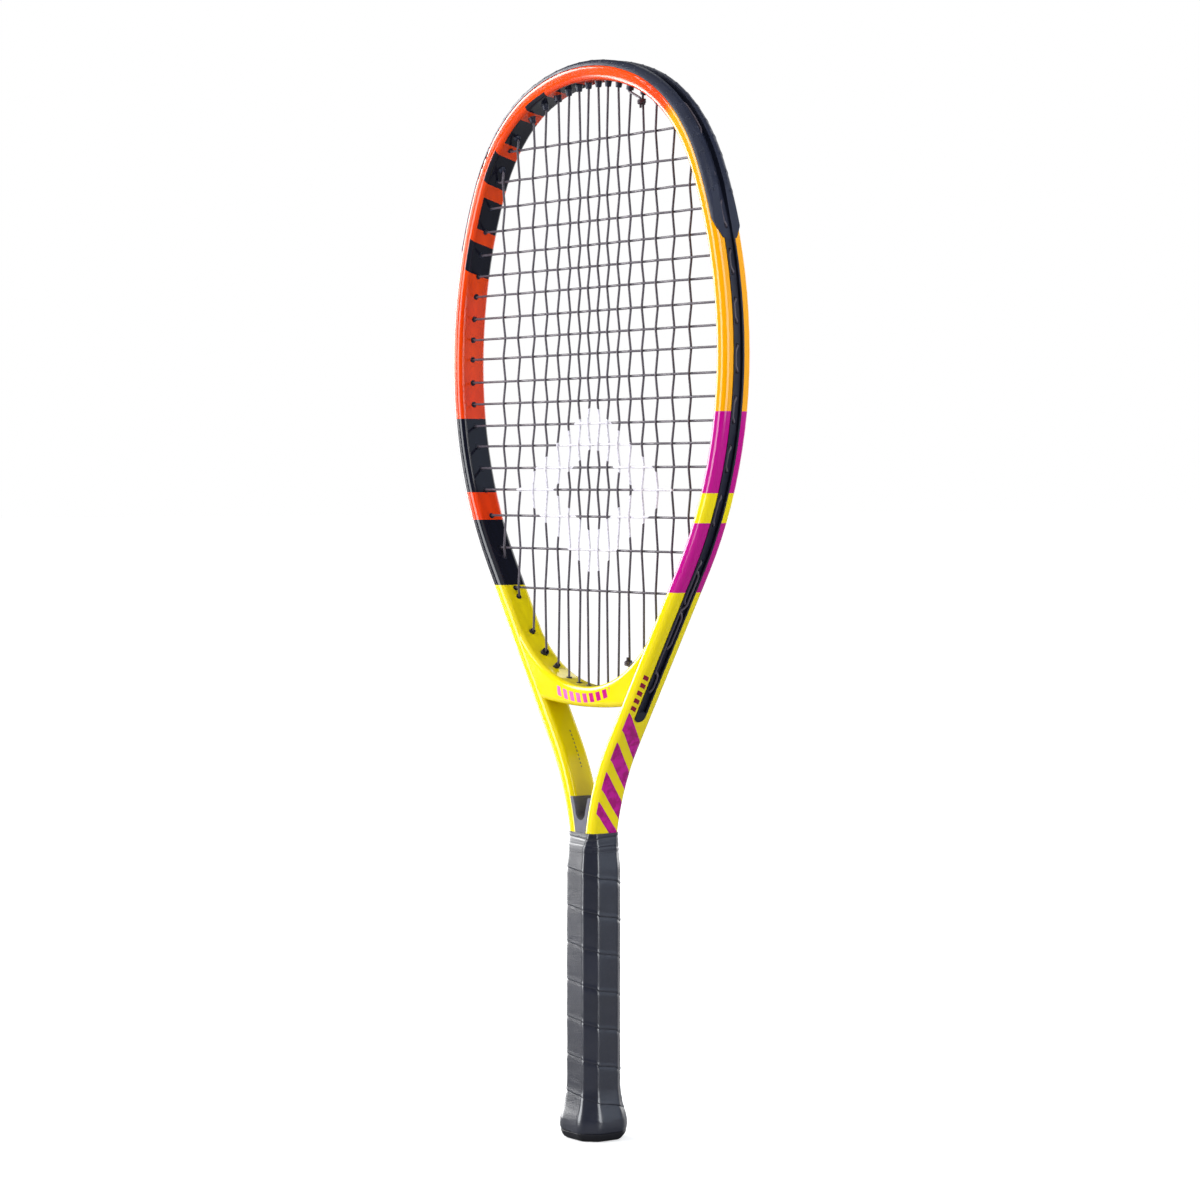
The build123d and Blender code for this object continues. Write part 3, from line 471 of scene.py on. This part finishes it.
FINISHES = {
    "painted_tube": tube_paint(),
    "painted_bridge": bridge_paint(),
    "rivet_aluminium": drawn_metal("rivet_aluminium", rgb(200, 200, 204), 0.28, 0.45),
    "plug_rubber": plug_rubber(),
    "guard_plastic": guard_plastic(),
    "strip_plastic": strip_plastic(),
    "string_nylon": string_nylon(),
    "pallet_plastic": dark_plastic("pallet_foam", rgb(66, 66, 66), 0.62, 0.80, 700),
    "cap_plastic": dark_plastic("cap_rubber", rgb(20, 20, 26), 0.42, 0.58, 1100),
    "staple_steel": drawn_metal("staple_steel", rgb(176, 178, 182), 0.22, 0.40),
    "grip_synthetic": grip_synthetic(),
    "finishing_vinyl": finishing_vinyl(),
}
SLOTS = {
    "frame_tube": "painted_tube",
    "throat_bridge": "painted_bridge",
    "bridge_rivets": "rivet_aluminium",
    "throat_plug": "plug_rubber",
    "bumper_guard": "guard_plastic",
    "grommet_strip_left": "strip_plastic",
    "grommet_strip_right": "strip_plastic",
    "bridge_grommet_strip": "strip_plastic",
    "string_bed": "string_nylon",
    "pallet_front": "pallet_plastic",
    "pallet_rear": "pallet_plastic",
    "cap_staples": "staple_steel",
}
for name, slot in SLOTS.items():
    mesh = NODES[name].data
    mesh.materials.clear()
    mesh.materials.append(FINISHES[slot])
# The string comes as separate patches: this joins their edges.
weld = NODES["string_bed"].modifiers.new("weld", "WELD")
weld.merge_threshold = 0.000002

# ---- pieces -----------------------------------------------------------------------------------


def finished(obj, slot, *replaced):
    """Gives a new piece its finish and its body, and hides the nodes it stands for."""
    bpy.context.scene.collection.objects.link(obj)
    obj.data.materials.append(FINISHES[slot])
    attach(obj, "root")
    if replaced:
        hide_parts(*replaced)


def object_of(form, name):
    """Turns a finished form into an object of its own."""
    mesh = bpy.data.meshes.new(name)
    form.to_mesh(mesh)
    form.free()
    return bpy.data.objects.new(name, mesh)


def bridge_rows(form, rows):
    """Faces between each row of points and the next, once round."""
    count = len(rows[0])
    for low, high in zip(rows, rows[1:]):
        for i in range(count):
            j = (i + 1) % count
            form.faces.new((low[i], low[j], high[j], high[i]))


def clean(form):
    """Joins points that coincide and turns all faces outwards."""
    bmesh.ops.remove_doubles(form, verts=form.verts, dist=1e-7)
    bmesh.ops.recalc_face_normals(form, faces=form.faces)


def skin(name, rings, closed=False):
    """A closed mesh over rings of equal length: capped, or with its last ring joined to its first."""
    form = bmesh.new()
    rows = [[form.verts.new(point) for point in ring] for ring in rings]
    bridge_rows(form, rows + rows[:1] if closed else rows)
    if not closed:
        form.faces.new(rows[0][::-1])
        form.faces.new(rows[-1])
    clean(form)
    return object_of(form, name)


def smoothed_by_angle(obj, degrees):
    """Smooth shading that keeps edges sharper than an angle."""
    form = bmesh.new()
    form.from_mesh(obj.data)
    for edge in form.edges:
        edge.smooth = len(edge.link_faces) < 2 or edge.calc_face_angle(0.0) < math.radians(degrees)
    for face in form.faces:
        face.smooth = True
    form.to_mesh(obj.data)
    form.free()
    return obj


# The handle's octagon, as in the CAD source
GRIP_WIDTH, GRIP_DEPTH, GRIP_BEVEL = 0.0273, 0.0250, 0.0060
TAPE_FOOT, TAPE_TOP, FINISH_TOP = 0.0045, 0.1570, 0.1660
WRAP_TOP = TAPE_TOP + 0.0006  # the wrapped tape runs this far up, under the finishing band
FINISH_FOOT = 0.1556
PALLET_TOP, TAPE_SLIM = 0.1500, -0.0009
FINISH_SIZE = (0.0246, 0.0194, 0.0030)
FLARE = (
    (0.0, 0.0033), (TAPE_FOOT, 0.0033), (0.0080, 0.00375), (0.0125, 0.0033), (0.0180, 0.0016),
    (0.0240, 0.0005), (0.0300, 0.0), (PALLET_TOP - 0.004, 0.0), (TAPE_TOP, TAPE_SLIM), (0.2, TAPE_SLIM),
)
PITCH = 0.0202  # of the tape's turns
SEAM_AT = 0.0247  # height of a seam at the middle of the front face
FLAT_STEPS, ROUND_STEPS = 7, 5
RING = 8 * (FLAT_STEPS + ROUND_STEPS)
PLATE_X, PLATE_Y = 0.0080, 0.0070  # half sizes of the oval end plate


def section(width=GRIP_WIDTH, depth=GRIP_DEPTH, bevel=GRIP_BEVEL, rounding=0.0024):
    """One turn of the octagon, counter-clockwise from the middle of the front face.

    Each entry is (core x, core y, normal x, normal y): a point offset by r lies at core + r * normal.
    """
    x, y, cut = width / 2 - rounding, depth / 2 - rounding, bevel - rounding * (2 - math.sqrt(2))
    corners = [
        (x - cut, -y), (x, cut - y), (x, y - cut), (x - cut, y),
        (cut - x, y), (-x, y - cut), (-x, cut - y), (cut - x, -y),
    ]
    entries = []
    for index, corner in enumerate(corners):
        last = corners[index - 1]
        facing = -math.pi / 2 + index * math.pi / 4
        for i in range(FLAT_STEPS):
            share = (i + 0.5) / FLAT_STEPS
            entries.append((
                last[0] + (corner[0] - last[0]) * share, last[1] + (corner[1] - last[1]) * share,
                math.cos(facing), math.sin(facing),
            ))
        for i in range(ROUND_STEPS):
            angle = facing + (i + 0.5) / ROUND_STEPS * math.pi / 4
            entries.append((*corner, math.cos(angle), math.sin(angle)))
    half = FLAT_STEPS // 2
    return entries[half:] + entries[:half], rounding


def smooth_profile(levels, z):
    """Height of a smooth curve through (z, value) levels."""
    for i in range(len(levels) - 1):
        (z0, v0), (z1, v1) = levels[i], levels[i + 1]
        if z <= z1:
            break
    before = levels[max(i - 1, 0)]
    after = levels[min(i + 2, len(levels) - 1)]
    slope0 = (v1 - before[1]) / max(z1 - before[0], 1e-9)
    slope1 = (after[1] - v0) / max(after[0] - z0, 1e-9)
    step, t = z1 - z0, min(max((z - z0) / (z1 - z0), 0.0), 1.0)
    return (
        (2 * t**3 - 3 * t**2 + 1) * v0 + (t**3 - 2 * t**2 + t) * step * slope0
        + (3 * t**2 - 2 * t**3) * v1 + (t**3 - t**2) * step * slope1
    )


def bulge(distance, width):
    """A round ridge, 1 at its middle and nothing beyond its width."""
    share = min(abs(distance) / width, 1.0)
    return (1 - share**2) ** 2


def wrap_height(z, share):
    """How far the wrapped tape stands over its plain shape, share of a turn round from the front."""
    place = (z - SEAM_AT) / PITCH + share
    phase = place - math.floor(place)
    rise = min(phase * PITCH / 0.0004, 1.0)  # from the seam's groove up over the tape's edge
    high = -0.00045 * (1 - math.sin(rise * math.pi / 2))
    high += 0.00016 * bulge(phase * PITCH - 0.0009, 0.0013)
    high -= 0.00016 * max(0.0, (phase - 0.80) / 0.20) ** 2
    return high


# Soft folds where the tape was pulled round the flare: (share of a turn, z, width, length, height)
FOLDS = [
    (random.random(), random.uniform(0.009, 0.044), random.uniform(0.0005, 0.0010),
     random.uniform(0.05, 0.12), random.uniform(0.00005, 0.00016))
    for _ in range(54)
]


def fold_height(z, share):
    high = 0.0
    for middle, at, width, length, height in FOLDS:
        apart = (share - middle + 0.5) % 1.0 - 0.5
        if abs(apart) < length:
            high += height * bulge(z - at + PITCH * 1.6 * apart, width) * bulge(apart, length)
    return high


def grip_tape():
    """The wrapped tape: rows of points follow its seams, so each edge is a real step."""
    entries, rounding = section()
    # shares of a turn at which a row lies, close together beside the seam
    marks = [0.0, 0.006, 0.013, 0.022, 0.036, 0.055, 0.08, 0.11]
    marks += [0.15 + 0.85 * i / 17 for i in range(17)]
    form = bmesh.new()
    rows = []
    for turn in range(-2, 9):
        for mark in marks:
            row = []
            for index, (cx, cy, nx, ny) in enumerate(entries):
                share = index / RING
                z = SEAM_AT + PITCH * (turn + mark - share)
                z = min(max(z, TAPE_FOOT), WRAP_TOP)
                offset = rounding + smooth_profile(FLARE, z)
                offset = offset + wrap_height(z, share) + fold_height(z, share)
                offset += 0.00012 * noise.noise(Vector((cx * 90, cy * 90, z * 90)))
                edge = min(z - TAPE_FOOT, 0.0008) / 0.0008
                offset -= 0.0005 * (1 - math.sin(max(edge, 0.0) * math.pi / 2))
                row.append(form.verts.new((cx + offset * nx, cy + offset * ny, z)))
            rows.append(row)
    # once round, a row has come down by one turn
    ends = [rows[max(number - len(marks), 0)][0] for number in range(len(rows))]
    for number in range(len(rows) - 1):
        low, high = rows[number] + [ends[number]], rows[number + 1] + [ends[number + 1]]
        for i in range(RING):
            corners = dict.fromkeys((low[i], low[i + 1], high[i + 1], high[i]))
            if len(corners) > 2:
                form.faces.new(list(corners))
    # the tape's inner side, from its top down over the pallets and the cap's collar
    shell = [rows[-1]]
    for z, growth in ((WRAP_TOP, -0.0030), (PALLET_TOP, -0.0026), (0.0300, -0.0016),
                      (0.0240, -0.0011), (0.0180, 0.0003), (0.0125, 0.0020), (TAPE_FOOT, 0.0020)):
        shell.append([form.verts.new((cx + (rounding + growth) * nx, cy + (rounding + growth) * ny, z))
                      for cx, cy, nx, ny in entries])
    shell.append(rows[0])
    bridge_rows(form, shell)
    clean(form)
    return smoothed_by_angle(object_of(form, "grip_wrap"), 50)


def finishing_ring(z, lift):
    """The finishing tape's section at a height, from the slimmed octagon to the two legs' outline."""
    share = min(max((z - TAPE_TOP) / (FINISH_TOP - TAPE_TOP), 0.0), 1.0)
    share = share * share * (3 - 2 * share) * 0.6 + share * 0.4
    low, low_round = section(GRIP_WIDTH + 2 * TAPE_SLIM, GRIP_DEPTH + 2 * TAPE_SLIM,
                             GRIP_BEVEL + TAPE_SLIM * (2 - math.sqrt(2)))
    high, high_round = section(*FINISH_SIZE, 0.0018)
    ring = []
    for index, (a, b) in enumerate(zip(low, high)):
        point = [
            (1 - share) * (a[k] + low_round * a[k + 2]) + share * (b[k] + high_round * b[k + 2])
            for k in (0, 1)
        ]
        extra = lift(z, index / RING)
        ring.append((point[0] + extra * a[2], point[1] + extra * a[3], z))
    return ring


def seam_drop(share):
    """How far the collar's lower edge hangs down, round from the middle of the front face."""
    points = ((0.0, 0.0020), (0.13, 0.0034), (0.25, 0.0016), (0.42, 0.0012),
              (0.58, 0.0026), (0.75, 0.0010), (0.90, 0.0008), (1.0, 0.0020))
    return smooth_profile(points, share % 1.0)


def finishing_lift(z, share):
    """Stretched vinyl: a collar with a dipping edge over an overlapped, wrinkled band."""
    edge = FINISH_TOP - 0.0004 - seam_drop(share)
    high = 0.00018 * (1 / (1 + math.exp(-(z - edge) / 0.00025)))
    high -= 0.00014 * bulge(z - edge + 0.0003, 0.0007)
    lap = 0.1602 - 0.0048 * ((share + 0.12) % 1.0)
    high += 0.00016 * (1 / (1 + math.exp((z - lap) / 0.00030)))
    high -= 0.00010 * bulge(z - lap - 0.0003, 0.0007)
    for middle, at, slope in ((0.03, 0.1618, 0.020), (0.20, 0.1590, -0.012), (0.47, 0.1612, 0.018),
                              (0.66, 0.1594, -0.016), (0.88, 0.1606, 0.022)):
        apart = (share - middle + 0.5) % 1.0 - 0.5
        high += 0.00022 * bulge(z - at + slope * apart, 0.0007) * bulge(apart, 0.09)
    return high + 0.00008 * noise.noise(Vector((share * 14, z * 700, 2.0)))


def finishing_band():
    """The vinyl band that closes the tape's end, on to the legs."""
    steps = 56

    def outside(z, share):
        return finishing_lift(z, share) + (0.00005 if z > FINISH_FOOT else -0.0004)

    rings = [
        finishing_ring(FINISH_FOOT + (FINISH_TOP - FINISH_FOOT) * i / steps, outside)
        for i in range(steps + 1)
    ]
    rings.append(finishing_ring(FINISH_TOP, lambda z, share: -0.0002))
    rings.append(finishing_ring(FINISH_TOP, lambda z, share: -0.0007))
    rings.append(finishing_ring(FINISH_FOOT, lambda z, share: -0.0011))
    return smoothed_by_angle(skin("finishing_band", rings, closed=True), 60)


def oval(z, half_x, half_y, steps):
    """One turn of an ellipse, counter-clockwise from the middle of the front face."""
    angles = [2 * math.pi * i / steps for i in range(steps)]
    return [(half_x * math.sin(angle), -half_y * math.cos(angle), z) for angle in angles]


def butt_cap():
    """The cap's rounded rim, its collar under the tape, its socket and the plate's seat."""
    entries, rounding = section()

    def ring(z, growth):
        reach = rounding + growth
        return [(cx + reach * nx, cy + reach * ny, z) for cx, cy, nx, ny in entries]

    def seat(z, grow):
        return oval(z, PLATE_X + grow, PLATE_Y + grow, RING)

    outer = ((0.0, -0.0032), (0.0, -0.0012), (0.00025, 0.0003), (0.0010, 0.0015), (0.0021, 0.0024),
             (0.0034, 0.0030), (0.0044, 0.0033), (0.0046, 0.0031), (0.0046, 0.0019), (0.0125, 0.0019),
             (0.0180, 0.0001), (0.0219, -0.0008), (0.0219, -0.0017), (0.0030, -0.0017))
    rings = [seat(0.00135, 0.00005), seat(0.0004, 0.00005), seat(0.0001, 0.0003), seat(0.0, 0.0008)]
    rings += [ring(z, growth) for z, growth in outer]
    return smoothed_by_angle(skin("cap_body", rings), 40)


def butt_plate():
    """A shallow domed plate with one plain raised ring."""
    levels = ((0.00130, 1.0), (0.0004, 1.0), (0.00022, 0.975), (0.0002, 0.95), (0.00020, 0.80),
              (0.00006, 0.78), (0.00006, 0.68), (0.00020, 0.66), (0.00024, 0.3), (0.00025, 0.05))
    rings = [oval(z, PLATE_X * size, PLATE_Y * size, 96) for z, size in levels]
    return smoothed_by_angle(skin("cap_plate", rings), 50)


finished(grip_tape(), "grip_synthetic", "grip_tape")
finished(finishing_band(), "finishing_vinyl", "finishing_tape")
finished(butt_cap(), "cap_plastic", "butt_cap")
finished(butt_plate(), "cap_plastic", "butt_plate")

# ---- grommet collars --------------------------------------------------------------------------
# The top barrels are widest where they come out of the frame. Their places are those of the CAD source.
TOP_X = (0.0046, 0.0136, 0.0233, 0.0337, 0.0456, 0.0582, 0.0734, 0.0885)
TOP_REACH = (0.0032,) * 6 + (0.0015,) * 2
MOUTH_GAP = 0.0006  # from a barrel's end to where its string turns
COLLAR_WIDE, COLLAR_NARROW, COLLAR_BORE = 0.0021, 0.0017, 0.00148  # radii


def hoop_spot(x, inset):
    """Station where a vertical line at x meets the top of the hoop moved inwards by inset."""
    done = 0.0
    for cx, cz, radius, start, end in ARCS:
        ratio = (x - cx) / (radius - inset)
        if abs(ratio) <= 1 and start <= math.acos(ratio) <= end:
            return done + radius * (math.acos(ratio) - start)
        done += radius * (end - start)
    raise ValueError(f"no place on the hoop at x {x}")


def collar(form, foot, axis, height):
    """A turned collar with a rolled foot and a rounded lip, bored for its barrel."""
    wide, narrow, bore = COLLAR_WIDE, COLLAR_NARROW, COLLAR_BORE
    side = axis.cross(Vector((0, 1, 0))).normalized()
    up = Vector((0, 1, 0))
    profile = ((-0.0002, wide + 0.0002), (0.0001, wide + 0.00015), (0.0004, wide - 0.0001),
               (height * 0.55, (wide + narrow) / 2 - 0.0001), (height - 0.0002, narrow),
               (height, narrow - 0.0002), (height, bore), (-0.0002, bore))
    steps = 20
    rows = []
    for level, radius in profile:
        row = []
        for i in range(steps):
            angle = 2 * math.pi * i / steps
            out = (side * math.cos(angle) + up * math.sin(angle)) * radius
            row.append(form.verts.new(foot + axis * level + out))
        rows.append(row)
    bridge_rows(form, rows + rows[:1])


def collars():
    """A collar on each of the top barrels."""
    form = bmesh.new()
    for sign in (-1, 1):
        for x, reach in zip(TOP_X, TOP_REACH):
            (px, pz), (nx, nz) = along(hoop_spot(x, HALF_WIDTH + reach + MOUTH_GAP), -HALF_WIDTH)
            axis = Vector((-sign * nx, 0, -nz))
            collar(form, Vector((sign * px, 0, pz)), axis, reach - 0.0003)
    bmesh.ops.recalc_face_normals(form, faces=form.faces)
    return smoothed_by_angle(object_of(form, "grommet_collars"), 50)


finished(collars(), "guard_plastic")

# ---- crescents moulded on the guard -----------------------------------------------------------
GUARD_CREST, GUARD_CORNER, GUARD_HALF = 0.0066, 0.0045, 0.0088  # height, corner radius, half depth
CRESCENTS, CRESCENT_STEPS = 14, 12  # in each of the four rows, and along each one
CRESCENT_WRAP = 0.0064  # of their middles, round the section from the guard's crest
CRESCENT_LONG, CRESCENT_WIDE = 0.0015, 0.0013  # half sizes


def tube_curve(name, radius, resolution):
    """An empty curve that is as thick as a round bar."""
    curve = bpy.data.curves.new(name, "CURVE")
    curve.dimensions = "3D"
    curve.bevel_depth, curve.bevel_resolution, curve.use_fill_caps = radius, resolution, True
    return curve


def guard_point(side, station, wrap):
    """A point on the guard, by its station and the distance round the section from its crest."""
    flat = GUARD_HALF - GUARD_CORNER
    if abs(wrap) <= flat:
        y, height = wrap, GUARD_CREST
    else:
        angle = (abs(wrap) - flat) / GUARD_CORNER
        y = math.copysign(flat + GUARD_CORNER * math.sin(angle), wrap)
        height = GUARD_CREST - GUARD_CORNER + GUARD_CORNER * math.cos(angle)
    (x, z), _ = along(station, height)
    return Vector((side * x, y, z))


def crescents():
    """Small raised arcs in a row along both wings of the guard."""
    curve = tube_curve("guard_crescents", 0.00016, 2)
    first = station_of(0.1128, 0.505)
    last = sum(radius * (end - start) for _, _, radius, start, end in ARCS) - 0.006
    for side in (-1, 1):
        for face in (-1, 1):
            for number in range(CRESCENTS):
                middle = first + (last - first) * number / (CRESCENTS - 1)
                spline = curve.splines.new("POLY")
                spline.points.add(CRESCENT_STEPS)
                for i, point in enumerate(spline.points):
                    angle = math.radians(-20 + 220 * i / CRESCENT_STEPS)
                    wrap = face * (CRESCENT_WRAP + CRESCENT_WIDE * math.cos(angle))
                    at = guard_point(side, middle + CRESCENT_LONG * math.sin(angle), wrap)
                    point.co = (*at, 1.0)
    return bpy.data.objects.new("guard_crescents", curve)


finished(crescents(), "guard_plastic")

# ---- hitches ----------------------------------------------------------------------------------
STRING = 0.00065  # radius
COIL_STEPS = 10  # in each turn of a hitch
HITCH_Y, HITCH_INSET = -0.00075, 0.0013  # the hitches' middles, and how far inside the CAD knots' ends


def coil(curve, middle, axis, across, other, turns, rise, reach):
    """A tight coil of string round two strings side by side."""
    spline = curve.splines.new("NURBS")
    steps = COIL_STEPS * turns
    spline.points.add(steps)
    for i, point in enumerate(spline.points):
        angle = 2 * math.pi * i / COIL_STEPS
        swell = 1.0 + 0.06 * math.sin(i * 2.4)
        at = middle + axis * (rise * (i / steps - 0.5))
        at = at + across * (reach[0] * swell * math.cos(angle))
        at = at + other * (reach[1] * swell * math.sin(angle))
        point.co = (*at, 1.0)
    spline.order_u, spline.use_endpoint_u = 3, True


def hitches():
    """Two turns of the string's own end pulled tight round each tied main, with a crossing turn."""
    curve = tube_curve("string_hitches", STRING, 4)
    lo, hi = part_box("string_knots")
    spots = (
        (Vector((0.0456, HITCH_Y, hi[2] - HITCH_INSET)), -1),
        (Vector((0.0337, HITCH_Y, lo[2] + HITCH_INSET)), 1),
    )
    for middle, way in spots:
        up, along_y, along_x = Vector((0, 0, 1)), Vector((0, 1, 0)), Vector((1, 0, 0))
        coil(curve, middle, up, along_y, along_x, 2, 0.0021 * way, (0.00205, 0.00135))
        spline = curve.splines.new("NURBS")
        route = ((0.0, -0.0021, 0.0012), (0.0012, -0.0012, 0.0004), (0.0015, 0.0004, -0.0006),
                 (0.0009, 0.0018, -0.0013), (-0.0004, 0.0021, -0.0009))
        spline.points.add(len(route) - 1)
        for point, (dx, dy, dz) in zip(spline.points, route):
            point.co = (*(middle + Vector((dx, dy, dz * way))), 1.0)
        spline.order_u, spline.use_endpoint_u = 3, True
    return bpy.data.objects.new("string_hitches", curve)


finished(hitches(), "string_nylon", "string_knots")

# ---- floor, lights and camera -----------------------------------------------------------------
FLOOR_GLOW = (0.55, 1.0)  # near the racket and far from it: lifts the floor to the backdrop's white
LIGHT_TARGET = 0.33  # height that the lights are aimed at
VIEW_AZIMUTH = math.radians(55)


def camera_sees(tree, shown, otherwise, output):
    """Links one shader to the output for what the camera sees itself, and another for all else."""
    path, pick = tree.nodes.new("ShaderNodeLightPath"), tree.nodes.new("ShaderNodeMixShader")
    tree.links.new(path.outputs["Is Camera Ray"], pick.inputs[0])
    tree.links.new(otherwise.outputs[0], pick.inputs[1])
    tree.links.new(shown.outputs[0], pick.inputs[2])
    tree.links.new(pick.outputs[0], tree.nodes[output].inputs["Surface"])


def floor():
    """A pale studio floor, a little uneven in tone."""
    form = bmesh.new()
    bmesh.ops.create_grid(form, x_segments=8, y_segments=8, size=30.0)
    obj = object_of(form, "studio_floor")
    bpy.context.scene.collection.objects.link(obj)
    made = Finish("studio_floor", Specular_IOR_Level=0.0, Roughness=0.9)
    made.colour(made.tinted(rgb(225, 225, 226), 0.985, 1.0, 3))
    tree = made.tree
    glow = tree.nodes.new("ShaderNodeEmission")
    reach = (made.x * made.x + made.y * made.y).math("SQRT").ramp(0.10, 0.9, *FLOOR_GLOW)
    tree.links.new(reach.socket, glow.inputs["Strength"])
    bright = tree.nodes.new("ShaderNodeAddShader")
    tree.links.new(made.shader.outputs[0], bright.inputs[0])
    tree.links.new(glow.outputs[0], bright.inputs[1])
    bounce = tree.nodes.new("ShaderNodeBsdfDiffuse")
    bounce.inputs["Color"].default_value = (0.25, 0.25, 0.26, 1)
    camera_sees(tree, bright, bounce, "Material Output")
    obj.data.materials.append(made.material)


def softbox(name, azimuth, elevation, distance, size, power, tint=(1.0, 1.0, 1.0)):
    """An area light round the racket: azimuth 0 is out of the front face, 90 along +X."""
    light = bpy.data.lights.new(name, "AREA")
    light.shape, light.size, light.size_y, light.energy = "RECTANGLE", size[0], size[1], power
    light.color = tint
    obj = bpy.data.objects.new(name, light)
    obj.visible_camera = False
    bpy.context.scene.collection.objects.link(obj)
    a, e = math.radians(azimuth), math.radians(elevation)
    away = Vector((math.sin(a) * math.cos(e), -math.cos(a) * math.cos(e), math.sin(e)))
    obj.location = Vector((0, 0, LIGHT_TARGET)) + away * distance
    obj.rotation_mode = "QUATERNION"
    obj.rotation_quaternion = away.to_track_quat("Z", "Y")


floor()
softbox("edge", -77, 8, 1.4, (0.85, 1.6), 34)
softbox("front", -17, 12, 1.4, (0.8, 1.5), 25, tint=(0.96, 0.98, 1.0))
softbox("side", 92, 12, 1.4, (0.8, 1.5), 18, tint=(0.94, 0.97, 1.0))
softbox("rim", 134, 10, 1.5, (1.0, 1.5), 2.5, tint=(0.70, 0.82, 1.0))
softbox("back", 200, 15, 1.6, (1.6, 1.6), 12)
softbox("top", 20, 72, 1.6, (2.0, 2.0), 6)

world = bpy.data.worlds.new("studio")
bpy.context.scene.world = world
world.use_nodes = True
sky = world.node_tree
backdrop = sky.nodes["Background"]
backdrop.inputs["Color"].default_value = (1, 1, 1, 1)
room = sky.nodes.new("ShaderNodeBackground")
room.inputs["Color"].default_value = (0.92, 0.95, 1.0, 1)
room.inputs["Strength"].default_value = 0.09
camera_sees(sky, backdrop, room, "World Output")

camera_data = bpy.data.cameras.new("camera")
camera_data.lens, camera_data.sensor_width = 100.8, 36.0
camera_data.shift_x, camera_data.shift_y = 0.0054, -0.0971
camera = bpy.data.objects.new("camera", camera_data)
bpy.context.scene.collection.objects.link(camera)
camera.location = (1.4949, -1.0468, 0.355)
camera.rotation_mode = "QUATERNION"
camera.rotation_quaternion = Vector(
    (-math.sin(VIEW_AZIMUTH), math.cos(VIEW_AZIMUTH), 0)
).to_track_quat("-Z", "Y")
bpy.context.scene.camera = camera
bpy.context.scene.view_settings.view_transform = "Standard"
